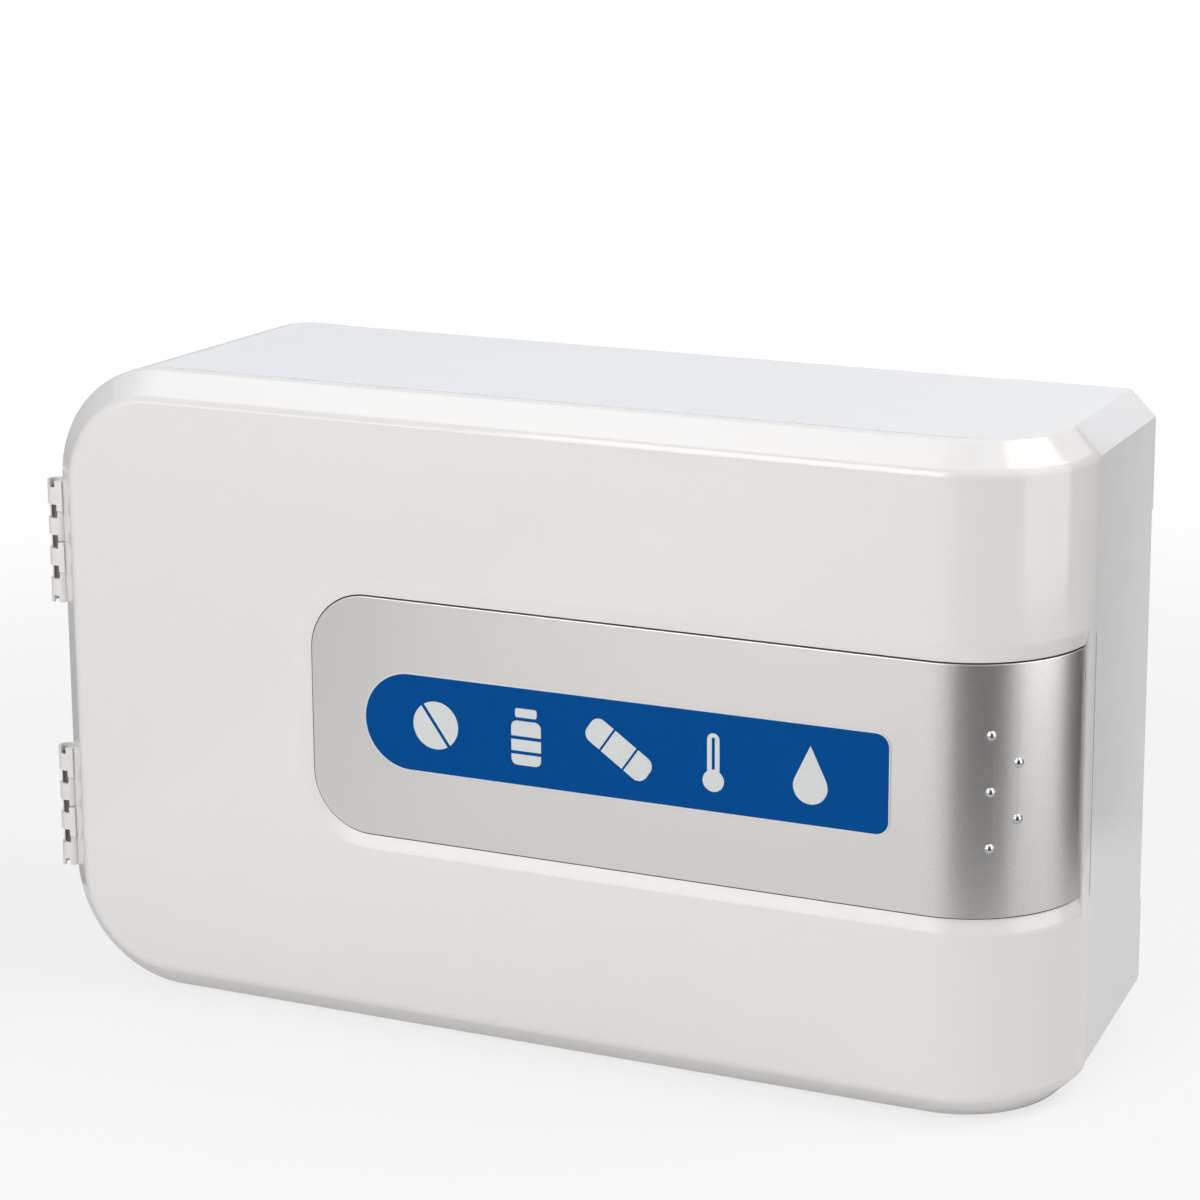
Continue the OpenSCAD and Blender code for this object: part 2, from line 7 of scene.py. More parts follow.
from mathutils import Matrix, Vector

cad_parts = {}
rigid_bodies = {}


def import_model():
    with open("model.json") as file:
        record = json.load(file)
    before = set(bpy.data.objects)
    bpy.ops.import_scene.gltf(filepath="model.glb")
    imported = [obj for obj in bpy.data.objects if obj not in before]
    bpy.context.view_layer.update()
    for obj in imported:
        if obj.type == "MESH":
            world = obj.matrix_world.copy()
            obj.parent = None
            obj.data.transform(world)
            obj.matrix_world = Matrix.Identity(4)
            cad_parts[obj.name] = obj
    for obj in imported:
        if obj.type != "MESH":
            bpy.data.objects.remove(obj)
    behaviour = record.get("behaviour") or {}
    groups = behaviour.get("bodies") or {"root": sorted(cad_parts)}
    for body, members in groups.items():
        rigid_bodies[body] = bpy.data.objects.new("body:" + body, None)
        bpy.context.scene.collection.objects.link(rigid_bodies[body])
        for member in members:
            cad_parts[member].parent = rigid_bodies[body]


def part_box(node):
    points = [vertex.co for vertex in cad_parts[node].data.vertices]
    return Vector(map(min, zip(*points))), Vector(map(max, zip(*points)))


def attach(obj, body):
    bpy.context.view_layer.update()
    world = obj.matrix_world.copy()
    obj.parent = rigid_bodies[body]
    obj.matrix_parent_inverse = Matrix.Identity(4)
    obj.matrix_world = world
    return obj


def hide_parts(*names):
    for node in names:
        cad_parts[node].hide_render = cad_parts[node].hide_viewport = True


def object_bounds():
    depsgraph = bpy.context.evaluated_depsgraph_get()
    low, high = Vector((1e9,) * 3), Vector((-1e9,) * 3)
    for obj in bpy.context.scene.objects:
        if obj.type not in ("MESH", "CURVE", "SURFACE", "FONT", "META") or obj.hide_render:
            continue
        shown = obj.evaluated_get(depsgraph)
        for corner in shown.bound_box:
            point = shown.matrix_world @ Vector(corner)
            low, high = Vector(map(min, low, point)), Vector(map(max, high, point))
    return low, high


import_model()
bpy.context.scene.view_settings.view_transform = "Standard"
cad_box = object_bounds()
mm = 0.001

# Camera
# It stands to the right of the cabinet and a little above it, as in the photograph. The
# shift lets it tilt less, which keeps the upright edges nearly parallel.
camera_place = (464.9 * mm, -1038.8 * mm, 466.0 * mm)
camera_down, camera_roll, camera_turn = 12.60, 0.32, 23.78
focal_px, centre_row_px, picture_px = 3356, 420, 1200

bpy.ops.object.camera_add(
    location=camera_place,
    rotation=(radians(90 - camera_down), radians(camera_roll), radians(camera_turn)))
camera = bpy.context.object
camera.data.sensor_width = 36
camera.data.lens = focal_px / picture_px * camera.data.sensor_width
camera.data.shift_y = (centre_row_px - picture_px / 2) / picture_px
camera.data.clip_start = 0.02
bpy.context.scene.camera = camera


# Studio
# A wide pale floor under soft lamps: one in front, one high on the right, a bluish one
# overhead and a weak one behind. Camera rays see the floor and the world as white paper.
class Wire:
    """One output of a material's nodes. Sums and products of wires add Math nodes."""

    def __init__(self, tree, socket=None):
        self.tree = tree
        self.socket = socket

    def node(self, kind, settings=None, inputs=None, output=0):
        """adds one node: its settings first, then the values or links of its sockets"""
        added = self.tree.nodes.new("ShaderNode" + kind)
        for name, value in (settings or {}).items():
            setattr(added, name, value)
        for name, value in (inputs or {}).items():
            socket = added.inputs[name] if isinstance(name, int) else next(
                s for s in added.inputs if s.enabled and s.name == name)
            if isinstance(value, Wire):
                self.tree.links.new(value.socket, socket)
            elif isinstance(value, tuple) and socket.type == "RGBA":
                socket.default_value = (*value, 1)
            else:
                socket.default_value = value
        outputs = [s for s in added.outputs if s.enabled]
        found = outputs[output] if isinstance(output, int) else next(
            s for s in outputs if s.name == output)
        return Wire(self.tree, found)

    def math(self, operation, *values):
        return self.node("Math", {"operation": operation}, dict(enumerate(values)))

    def __add__(self, other):
        return self.math("ADD", self, other)

    def __sub__(self, other):
        return self.math("SUBTRACT", self, other)

    def __mul__(self, other):
        return self.math("MULTIPLY", self, other)

    def __rsub__(self, other):
        return self.math("SUBTRACT", other, self)

    __radd__ = __add__
    __rmul__ = __mul__

    def mix(self, a, b):
        """colour a where this wire is 0, colour b where it is 1"""
        return self.node("Mix", {"data_type": "RGBA"}, {"Factor": self, "A": a, "B": b})


floor_colour, floor_roughness = (0.80, 0.80, 0.805), 0.9
floor_r, floor_drop = 6, 0.1 * mm
world_grey, world_strength = (0.80, 0.82, 0.85), 0.42
paper_near, paper_start, paper_end = 0.72, 0.35, 0.9

world = bpy.data.worlds.new("studio")
world.use_nodes = True
bpy.context.scene.world = world
sky = Wire(world.node_tree)
rays = [sky.node("LightPath", output=name)
        for name in ("Is Camera Ray", "Is Glossy Ray", "Is Transmission Ray")]
seen = sky.math("MINIMUM", rays[0] + rays[1] + rays[2], 1.0)
backdrop = world.node_tree.nodes["Background"]
world.node_tree.links.new(seen.mix(world_grey, (1, 1, 1)).socket, backdrop.inputs["Color"])
world.node_tree.links.new((seen * (1 - world_strength) + world_strength).socket,
                          backdrop.inputs["Strength"])


def add_lamp(name, place, size, power, colour):
    """a rectangular soft lamp that faces the cabinet's middle"""
    bpy.ops.object.light_add(type="AREA", location=place)
    lamp = bpy.context.object
    lamp.name = name
    lamp.data.shape = "RECTANGLE"
    lamp.data.size, lamp.data.size_y = size
    lamp.data.energy = power
    lamp.data.color = colour
    lamp.rotation_euler = (lamp.location - Vector((0, 0, cad_box[1][2] / 2))).to_track_quat(
        "Z", "Y").to_euler()
    return lamp


add_lamp("key_lamp", (-0.2, -1.1, 0.6), (0.6, 0.6), 6.0, (1, 0.935, 0.875))
add_lamp("side_lamp", (0.9, 0.2, 1.2), (0.8, 0.8), 9.2, (1, 0.91, 0.83))
add_lamp("top_lamp", (0.0, 0.1, 1.4), (1.2, 0.9), 2.4, (0.4, 0.7, 1))

# the lamp behind stays out of reflections, where it would bleach the cabinet's top
back_lamp = add_lamp("back_lamp", (-0.9, 0.9, 0.35), (0.9, 0.5), 3.0, (1, 0.95, 0.9))
back_lamp.visible_glossy = False


def add_card(name, place, size, turns, strength, fade=0.0):
    """a card that only reflections see; it lights nothing else. Its left and right ends may
    fade into the white of the world"""
    bpy.ops.mesh.primitive_plane_add(size=1, location=place, rotation=[radians(t) for t in turns])
    card = bpy.context.object
    card.name = "card_" + name
    card.scale = (*size, 1)
    bpy.ops.object.transform_apply()
    card.visible_camera = card.visible_diffuse = card.visible_shadow = False
    glow = bpy.data.materials.new("card_" + name)
    glow.use_nodes = True
    wire = Wire(glow.node_tree)
    across = wire.node("SeparateXYZ", None, {0: wire.node("TexCoord", output="Object")}, "X")
    shown = wire.node("MapRange", {"interpolation_type": "SMOOTHSTEP"}, {
        "Value": across.math("ABSOLUTE", across - place[0]), "From Min": size[0] / 2 - fade,
        "From Max": size[0] / 2, "To Min": strength, "To Max": 1.0 if fade else strength})
    light = wire.node("Emission", None, {"Color": (1, 1, 1), "Strength": shown})
    output = glow.node_tree.nodes["Material Output"]
    glow.node_tree.links.new(light.socket, output.inputs["Surface"])
    card.data.materials.append(glow)


# what the gloss mirrors: three cards beside the bend, bright ones above and in front, and
# dark ones on the floor and on the left
add_card("front_dark", (0.26, -0.21, 0.16), (0.20, 0.32), (90, 0, 29), 0.12)
add_card("right_light", (0.588, -0.047, 0.33), (0.36, 0.54), (90, 0, 84), 2.4)
add_card("back_dark", (0.324, 0.154, 0.16), (0.26, 0.32), (90, 0, 130), 0.04)
add_card("above", (-0.5, -0.45, 1.2), (1.6, 0.8), (0, 0, 0), 3.4, 0.7)
add_card("low_front", (-0.45, -1.0, 0.32), (1.4, 0.2), (90, 0, 0), 4.0, 0.3)
add_card("left_floor", (-0.57, 0.2, 0.0004), (0.66, 0.6), (0, 0, 0), 0.06)
add_card("left_wall", (-1.0, 0.25, 0.35), (1.2, 0.69), (90, 0, 90), 0.15)
add_card("front_floor", (-0.55, -0.45, 0.0004), (0.56, 0.7), (0, 0, 0), 0.35)

# the floor lies a hair below the base, so that the two never share a plane
bpy.ops.mesh.primitive_circle_add(
    vertices=96, radius=floor_r, fill_type="NGON", location=(0, 0, -floor_drop))
floor = bpy.context.object
floor.name = "floor"
floor_finish = bpy.data.materials.new("pale_floor")
floor_finish.use_nodes = True
floor.data.materials.append(floor_finish)
tree = floor_finish.node_tree
shader = tree.nodes["Principled BSDF"]
shader.inputs["Base Color"].default_value = (*floor_colour, 1)
shader.inputs["Roughness"].default_value = floor_roughness
wire = Wire(tree)
spot = wire.node("TexCoord", output="Object")
far = wire.node("VectorMath", {"operation": "LENGTH"}, {0: spot}, "Value")
fade = wire.node("MapRange", {"interpolation_type": "SMOOTHSTEP"}, {
    "Value": far, "From Min": paper_start, "From Max": paper_end,
    "To Min": paper_near, "To Max": 1.0})
paper = wire.node("Emission", None, {"Color": (1, 1, 1), "Strength": 1.0})
mixed = wire.node("MixShader", None, {
    0: wire.node("LightPath", output="Is Camera Ray") * fade,
    1: Wire(tree, shader.outputs["BSDF"]), 2: paper})
tree.links.new(mixed.socket, tree.nodes["Material Output"].inputs["Surface"])

# Cabinet body
# A glossy white plastic tray, moulded in one piece with its back wall, corner pads, front
# flange and the blocks that take the hinge and catch screws. It hangs on four screws.
body_low, body_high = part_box("cabinet_body")
door_low, door_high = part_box("door_shell")
corner_r, bend_r = 42.5 * mm, 44 * mm
body_bevel, wall_bevel, body_wall = 9 * mm, 13 * mm, 2.5 * mm
side_draft, top_draft = 2 * mm, 3.5 * mm
body_soft, pad_soft, seam = 0.7 * mm, 0.5 * mm, 0.5 * mm
pad_rise, pad_w, pad_h, pad_inset, pad_side = 3 * mm, 56 * mm, 42 * mm, 0.3 * mm, 0.6 * mm
gap_h, gap_run, gap_body = 97 * mm, 5 * mm, 2.4 * mm
flange_t, flange_play, flange_inset = 2.5 * mm, 0.3 * mm, 1.2 * mm
hole_r, hole_span_x, hole_span_z = 2.5 * mm, 300 * mm, 160 * mm
rib_t, rib_h, root = 1.5 * mm, 4 * mm, 1 * mm
corner_steps = 24
# how near counts as the same place, what a limit is widened by, and what is merged
tolerance, hair, weld = 0.02 * mm, 0.01 * mm, 0.001 * mm
bend_x, bend_y = door_high.x - bend_r, door_low.y + bend_r
bend_axis = (bend_x, bend_y, 0)
middle = (door_low.z + door_high.z) / 2
door_edge = body_low.y - seam - door_low.y
body_back = body_high.y - pad_rise
body_edge = bend_y + seam
inner_r = bend_r - door_edge - seam


def near(a, b):
    return abs(a - b) < tolerance


def begin(name, place):
    """starts a piece as one point, to be drawn out by extruding"""
    bpy.ops.object.select_all(action="DESELECT")
    bpy.ops.mesh.primitive_plane_add(size=mm, location=place)
    bpy.ops.object.transform_apply()
    piece = bpy.context.object
    piece.name = piece.data.name = name
    bpy.ops.object.mode_set(mode="EDIT")
    bpy.ops.mesh.select_mode(type="VERT")
    bpy.ops.mesh.select_all(action="SELECT")
    bpy.ops.mesh.merge(type="CENTER")
    return piece


def upright(name, left, right, bottom, top, y):
    """starts a piece as a plane that faces the front"""
    bpy.ops.object.select_all(action="DESELECT")
    bpy.ops.mesh.primitive_plane_add(
        size=1, rotation=(pi / 2, 0, 0), location=((left + right) / 2, y, (bottom + top) / 2))
    piece = bpy.context.object
    piece.name = piece.data.name = name
    piece.scale = (right - left, top - bottom, 1)
    bpy.ops.object.transform_apply()
    bpy.ops.object.mode_set(mode="EDIT")
    return piece


def pick(kind, test, keep=False):
    """selects the verts, edges or faces whose corners all pass the test"""
    bpy.ops.mesh.select_mode(type=kind)
    if not keep:
        bpy.ops.mesh.select_all(action="DESELECT")
    mesh = bmesh.from_edit_mesh(bpy.context.object.data)
    parts = {"VERT": mesh.verts, "EDGE": mesh.edges, "FACE": mesh.faces}[kind]
    for part in parts:
        corners = [part] if kind == "VERT" else part.verts
        if all(test(corner.co) for corner in corners):
            part.select_set(True)
    mesh.select_flush_mode()
    bmesh.update_edit_mesh(bpy.context.object.data)


def extrude(x=0, y=0, z=0):
    bpy.ops.mesh.extrude_region_move(TRANSFORM_OT_translate={"value": (x, y, z)})


def spin(steps, turn, centre, axis):
    bpy.ops.mesh.spin(steps=steps, angle=radians(turn), center=centre, axis=axis)


def round_corners(width, steps):
    bpy.ops.mesh.bevel(affect="VERTICES", offset=width, segments=steps, profile=0.5)


def modify(piece, kind, **settings):
    """adds a modifier and applies it"""
    bpy.context.view_layer.objects.active = piece
    modifier = piece.modifiers.new(kind.lower(), kind)
    for name, value in settings.items():
        setattr(modifier, name, value)
    bpy.ops.object.modifier_apply(modifier=modifier.name)


def join(piece, others):
    if not others:
        return
    bpy.ops.object.select_all(action="DESELECT")
    for part in [*others, piece]:
        part.select_set(True)
    bpy.context.view_layer.objects.active = piece
    bpy.ops.object.join()


def block(low, high, edge=0.4 * mm):
    """a block from its lowest to its highest corner, with softened edges"""
    bpy.ops.object.select_all(action="DESELECT")
    bpy.ops.mesh.primitive_cube_add(size=1, location=[(a + b) / 2 for a, b in zip(low, high)])
    piece = bpy.context.object
    piece.scale = [b - a for a, b in zip(low, high)]
    bpy.ops.object.transform_apply()
    if edge:
        bpy.ops.object.mode_set(mode="EDIT")
        bpy.ops.mesh.select_all(action="SELECT")
        bpy.ops.mesh.bevel(affect="EDGES", offset=edge, segments=2, profile=0.5)
        bpy.ops.object.mode_set(mode="OBJECT")
    return piece


def rod(radius, length, place):
    """a round rod that lies from front to back"""
    bpy.ops.object.select_all(action="DESELECT")
    bpy.ops.mesh.primitive_cylinder_add(
        vertices=32, radius=radius, depth=length, location=place, rotation=(pi / 2, 0, 0))
    bpy.ops.object.transform_apply()
    return bpy.context.object


def combine(piece, others, operation):
    for other in others:
        modify(piece, "BOOLEAN", object=other, operation=operation, solver="EXACT")
        bpy.data.objects.remove(other)


def cut(piece, others):
    """takes the others' shapes out of the piece"""
    combine(piece, others, "DIFFERENCE")


def merge(piece, others):
    """makes the others one solid with the piece"""
    combine(piece, others, "UNION")


def shade(piece):
    """smooth shading that keeps flat faces flat and edges of over 48 degrees sharp"""
    bpy.ops.object.select_all(action="DESELECT")
    piece.select_set(True)
    bpy.context.view_layer.objects.active = piece
    bpy.ops.object.shade_smooth_by_angle(angle=radians(48))
    modify(piece, "WEIGHTED_NORMAL", keep_sharp=True)


def soften(piece, width, steps=3, angle=30):
    """rounds the edges that are sharper than the angle"""
    modify(piece, "BEVEL", width=width, segments=steps, limit_method="ANGLE",
           angle_limit=radians(angle), use_clamp_overlap=True)


def finish(pieces, name, values):
    """gives the pieces a new material; values are its shader's constant sockets"""
    material = bpy.data.materials.new(name)
    material.use_nodes = True
    for socket, value in values.items():
        material.node_tree.nodes["Principled BSDF"].inputs[socket].default_value = value
    for piece in pieces:
        piece.data.materials.append(material)
    return Wire(material.node_tree)


def place(piece, body, node, slot):
    """the piece rides on a body and stands for a node, whose part is hidden; slot is not used"""
    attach(piece, body)
    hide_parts(node)


def drive(wire, socket):
    """lets the wire set one socket of its material's shader"""
    shader = wire.tree.nodes["Principled BSDF"]
    wire.tree.links.new(wire.socket, shader.inputs[socket])


def noise(wire, scale, detail=2, stretch=(1, 1, 1)):
    """a cloudy pattern that is fixed to the piece"""
    spot = wire.node("TexCoord", output="Object")
    spot = wire.node("VectorMath", {"operation": "MULTIPLY"}, {0: spot, 1: stretch})
    return wire.node("TexNoise", None, {"Vector": spot, "Scale": scale, "Detail": detail})


def relief(wire, height, depth):
    """raises the surface a little where the height wire is high"""
    drive(wire.node("Bump", None, {"Height": height, "Distance": depth, "Strength": 1.0}), "Normal")


def body_outline(y, lean, drop, low_bevel, rise=0):
    """the body's outline at depth y, set in at both sides, at the top and at the base"""
    left, right = body_low.x + lean, door_high.x - lean
    bottom, top = body_low.z + rise, body_high.z - drop
    outline = upright("moulded_body", left, right, bottom, top, y)
    for test, width, steps in (
            (lambda p: near(p.x, left), corner_r - lean, corner_steps),
            (lambda p: near(p.x, right) and near(p.z, top), body_bevel, 1),
            (lambda p: near(p.x, right) and near(p.z, bottom), low_bevel, 1)):
        pick("VERT", test)
        round_corners(width, steps)
    bpy.ops.object.mode_set(mode="OBJECT")
    return outline


def s_curve(run, depth, steps=8):
    """moves along z and y that draw a smooth S from one level to the next"""
    levels = [(1 - cos(pi * i / steps)) / 2 for i in range(steps + 1)]
    return [(run / steps, depth * (b - a)) for a, b in zip(levels, levels[1:])]


def finger_cutter(y, depth):
    """what the finger gap takes from an edge at depth y: a long notch with S-shaped ends"""
    notch = begin("finger_cutter", (body_high.x - 3 * door_edge, y - depth, middle - gap_h / 2))
    extrude(y=depth)
    ramp = s_curve(gap_run, depth)
    for rise, step in ramp:
        extrude(y=step, z=rise)
    extrude(z=gap_h - 2 * gap_run)
    for rise, step in ramp:
        extrude(y=-step, z=rise)
    extrude(y=-depth)
    bpy.ops.mesh.select_all(action="SELECT")
    bpy.ops.mesh.edge_face_add()
    extrude(x=4 * door_edge)
    bpy.ops.mesh.select_all(action="SELECT")
    bpy.ops.mesh.normals_make_consistent(inside=False)
    bpy.ops.object.mode_set(mode="OBJECT")
    return notch


def door_zone():
    """what the closed door takes from the body's right front corner"""
    zone = begin("door_zone", (bend_x, bend_y - inner_r, body_low.z - body_wall))
    spin(corner_steps, -90, bend_axis, (0, 0, 1))
    extrude(y=seam)
    extrude(x=bend_r)
    extrude(y=-2 * bend_r)
    extrude(x=-inner_r - bend_r)
    bpy.ops.mesh.select_all(action="SELECT")
    bpy.ops.mesh.edge_face_add()
    extrude(z=body_high.z - body_low.z + 2 * body_wall)
    bpy.ops.mesh.select_all(action="SELECT")
    bpy.ops.mesh.normals_make_consistent(inside=False)
    bpy.ops.object.mode_set(mode="OBJECT")
    return zone


body = body_outline(body_low.y, 0, 0, body_bevel)
join(body, [body_outline(body_back, side_draft, top_draft, wall_bevel)])
bpy.ops.object.mode_set(mode="EDIT")
bpy.ops.mesh.select_all(action="SELECT")
bpy.ops.mesh.delete(type="ONLY_FACE")
bpy.ops.mesh.select_all(action="SELECT")
bpy.ops.mesh.bridge_edge_loops()
pick("EDGE", lambda p: near(p.y, body_back))
bpy.ops.mesh.edge_face_add()
bpy.ops.mesh.select_all(action="SELECT")
bpy.ops.mesh.normals_make_consistent(inside=False)
bpy.ops.object.mode_set(mode="OBJECT")
modify(body, "SOLIDIFY", thickness=body_wall, offset=-1, use_even_offset=True)
cut(body, [door_zone(), finger_cutter(body_edge, gap_body)])
soften(body, body_soft)


def outline_plate(y, thickness, inset, lean, drop, low_bevel):
    """a plate across the body with its outline, set in all round"""
    plate = body_outline(y, lean + inset, drop + inset, low_bevel, inset)
    modify(plate, "SOLIDIFY", thickness=thickness, offset=-1)
    return plate


# pads behind the four corners, each with a hole for a wall screw; the right ones are measured
# from the door's side, which stands pad_side beyond the body's
pads = outline_plate(body_back - body_wall / 2, pad_rise + body_wall / 2, pad_inset,
                     side_draft, top_draft, wall_bevel)
reach = 2 * corner_r
pad_top = body_high.z - top_draft - pad_h
cut(pads, [
    block((body_low.x + pad_w, body_back - reach, -reach),
          (body_high.x + pad_side - pad_w, body_back + reach, body_high.z + reach), 0),
    block((body_low.x - reach, body_back - reach, pad_h),
          (body_high.x + reach, body_back + reach, pad_top), 0)])
soften(pads, pad_soft)
merge(body, [pads])
middle_x = (body_low.x + door_high.x) / 2
middle_z = (body_high.z - top_draft) / 2
cut(body, [rod(hole_r, 4 * body_wall, (middle_x + side * hole_span_x / 2, body_back,
                                       middle_z + up * hole_span_z / 2))
           for side in (-1, 1) for up in (-1, 1)])

# the flange inside the right front edge, with the catch's opening
flange_w = door_edge + seam
flange_y = body_edge + gap_body + flange_play
flange = outline_plate(flange_y, flange_t, flange_inset, 0, 0, body_bevel)
cut(flange, [block((body_low.x - reach, flange_y - reach, -reach),
                   (door_high.x - flange_w, flange_y + reach, body_high.z + reach), 0)])
pole_low, pole_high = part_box("catch_pole_plates")
core_slack = 0.1 * mm
cut(flange, [block((pole_low.x - core_slack, flange_y - reach, pole_low.z - core_slack),
                   (pole_high.x + core_slack, flange_y + reach, pole_high.z + core_slack), 0)])

# what stands on the walls inside: ledges under the shelf, guide ribs for the dividers,
# blocks for the hinge screws and the screws of the catch
shelf_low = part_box("shelf")[0]
ledge, ledge_root = 4 * mm, 2.25 * mm
ledge_w = body_wall + side_draft + ledge
leaf_w, leaf_t, leaf_play = 16 * mm, 1.5 * mm, 0.3 * mm
past_pin, screw_depth = 2.5 * mm, 8.5 * mm
ear_h, ear_t, ear_root = 8 * mm, 2.5 * mm, 2 * mm
inside = []
for left, right, front in (
        (body_low.x + ledge_root, body_low.x + ledge_w, shelf_low.y),
        (door_high.x - ledge_w, door_high.x - ledge_root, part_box("catch_housing")[1].y + rib_t)):
    inside.append(block((left, front, shelf_low.z - ledge), (right, body_back - root, shelf_low.z)))
for name in ("lower_left_divider", "lower_right_divider"):
    low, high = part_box(name)
    for x in (low.x - leaf_play - rib_t, high.x + leaf_play):
        inside.append(block((x, body_edge, body_wall - root),
                            (x + rib_t, body_back - root, body_wall + rib_h)))
hinge_spans = []
for name in ("upper_hinge_pin", "lower_hinge_pin"):
    low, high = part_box(name)
    hinge_spans.append((low.z - past_pin, high.z + past_pin))
leaf_seat = body_low.y + leaf_t
for bottom, top in hinge_spans:
    inside.append(block((body_low.x + root, leaf_seat, bottom - rib_t),
                        (body_low.x + leaf_w + rib_t, leaf_seat + screw_depth, top + rib_t)))
low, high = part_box("catch_housing")
for bottom in (low.z, high.z - ear_h):
    inside.append(block(((low.x + high.x) / 2 + ear_t / 2, (low.y + high.y - ear_h) / 2, bottom),
                        (door_high.x - ear_root, (low.y + high.y + ear_h) / 2, bottom + ear_h)))
merge(body, [flange, *inside])
cut(body, [block((body_low.x - reach, body_low.y - reach, bottom - leaf_play / 2),
                 (body_low.x + leaf_w + leaf_play, leaf_seat, top + leaf_play / 2), 0)
           for bottom, top in hinge_spans])
shade(body)

paint = finish([body], "body_white", {"IOR": 1.5})
drive(noise(paint, 9, 3).mix((0.80, 0.818, 0.838), (0.785, 0.805, 0.829)), "Base Color")
drive(noise(paint, 70, 3) * 0.08 + 0.16, "Roughness")
relief(paint, noise(paint, 2600, 3), 0.006 * mm)
place(body, "cabinet", "cabinet_body", "body_plastic")

# Shelf and dividers
# Plain white plastic plates inside the cabinet: a moulded shelf with a raised front lip
# that follows the bend, on ledges, and three upright dividers held by guide ribs.
def softened(node, name, width):
    """a copy of a solid of the frame, merged, with its sharp edges rounded"""
    source = bpy.data.objects[node]
    piece = source.copy()
    piece.data = source.data.copy()
    piece.name = piece.data.name = name
    piece.data.materials.clear()
    bpy.context.collection.objects.link(piece)
    bpy.ops.object.select_all(action="DESELECT")
    piece.select_set(True)
    bpy.context.view_layer.objects.active = piece
    bpy.ops.object.parent_clear(type="CLEAR_KEEP_TRANSFORM")
    bpy.ops.object.transform_apply()
    bpy.ops.object.mode_set(mode="EDIT")
    bpy.ops.mesh.select_all(action="SELECT")
    bpy.ops.mesh.remove_doubles(threshold=weld)
    bpy.ops.mesh.dissolve_limited(angle_limit=radians(1))
    bpy.ops.object.mode_set(mode="OBJECT")
    soften(piece, width)
    shade(piece)
    return piece


plates = {name: softened(name, "plate_" + name, 0.35 * mm) for name in (
    "shelf", "lower_left_divider", "lower_right_divider", "upper_divider")}
paint = finish(plates.values(), "inner_white", {"IOR": 1.5})
drive(noise(paint, 12, 3).mix((0.78, 0.79, 0.80), (0.755, 0.765, 0.78)), "Base Color")
drive(noise(paint, 60, 3) * 0.1 + 0.38, "Roughness")
relief(paint, noise(paint, 2400, 3), 0.01 * mm)
for name, piece in plates.items():
    place(piece, "cabinet", name, "inner_plastic")

# Door bumpers
# Two soft grey rubber domes on the flange inside the cabinet's right end. They are stuck on,
# and the door's end closes against them.
def lathe(name, place, axis, side, profile, steps):
    """a turned piece: a profile of radii and distances along the axis, spun round it"""
    points = [Vector(place) + Vector(side) * radius + Vector(axis) * along
              for radius, along in profile]
    piece = begin(name, points[0])
    for start, end in zip(points, points[1:]):
        bpy.ops.mesh.extrude_vertices_move(TRANSFORM_OT_translate={"value": end - start})
    bpy.ops.mesh.select_all(action="SELECT")
    spin(steps, 360, place, axis)
    bpy.ops.mesh.select_all(action="SELECT")
    bpy.ops.mesh.remove_doubles(threshold=weld)
    bpy.ops.mesh.normals_make_consistent(inside=False)
    bpy.ops.object.mode_set(mode="OBJECT")
    return piece


bumper_low, bumper_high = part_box("door_bumpers")
bumper_r = (bumper_high.x - bumper_low.x) / 2
bumper_l = bumper_high.y - bumper_low.y
foot, round_steps = 0.35 * bumper_l, 6
round_top = [(bumper_r * cos(pi / 2 * i / round_steps),
              foot + (bumper_l - foot) * sin(pi / 2 * i / round_steps))
             for i in range(1, round_steps)]
bumpers = [
    lathe("rubber_bumper", ((bumper_low.x + bumper_high.x) / 2, bumper_high.y, z), (0, -1, 0),
          (1, 0, 0), [(0, 0), (bumper_r, 0), (bumper_r, foot), *round_top, (0, bumper_l)], 32)
    for z in (bumper_low.z + bumper_r, bumper_high.z - bumper_r)]
join(bumpers[0], bumpers[1:])
shade(bumpers[0])
rubber = finish(bumpers[:1], "grey_rubber", {"IOR": 1.45})
drive(noise(rubber, 400, 3).mix((0.10, 0.10, 0.105), (0.13, 0.13, 0.135)), "Base Color")
drive(noise(rubber, 700, 2) * 0.15 + 0.5, "Roughness")
place(bumpers[0], "cabinet", "door_bumpers", "bumper")

# Door
# One glossy white plastic moulding of even thickness: a flat front with bevelled edges, a
# bend that wraps round the right end, and a sloping recess that holds the trim panel.
door_wall, door_bevel, door_soft = 2.5 * mm, 9 * mm, 0.35 * mm
panel_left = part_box("trim_panel")[0].x
panel_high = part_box("trim_panel")[1].z
panel_r, panel_gap, panel_end, recess_end = 21 * mm, 0.4 * mm, 81, 81.5
slope_w, slope_drop, seat = 5.5 * mm, 1.6 * mm, 2.2 * mm
gap_door = 0.5 * mm
bend_steps, end_steps = 27, 4
face = door_low.y
panel_corner = (panel_left + panel_r, 0, panel_high - panel_r)
door_corner = (door_low.x + corner_r, 0, door_high.z - corner_r)
recess_top = panel_high + panel_gap
slope_top = recess_top + slope_w


def depth(p):
    """how deep a point lies below the door's outer face, on the front and on the bend"""
    if p.x <= bend_x + hair:
        return p.y - face
    return bend_r - ((p.x - bend_x) ** 2 + (p.y - bend_y) ** 2) ** 0.5


def at_recess_end(p):
    """whether a point lies as far round the bend as the recess reaches, to 0.02 degrees"""
    return abs(degrees(atan2(p.x - bend_x, bend_y - p.y)) - recess_end) < 0.02


def mirror_down(piece, level):
    """completes an upper half with its mirror image below the level"""
    bpy.context.scene.cursor.location = (0, 0, level)
    bpy.ops.object.origin_set(type="ORIGIN_CURSOR")
    modify(piece, "MIRROR", use_axis=(False, False, True), merge_threshold=hair)
    bpy.ops.object.transform_apply()


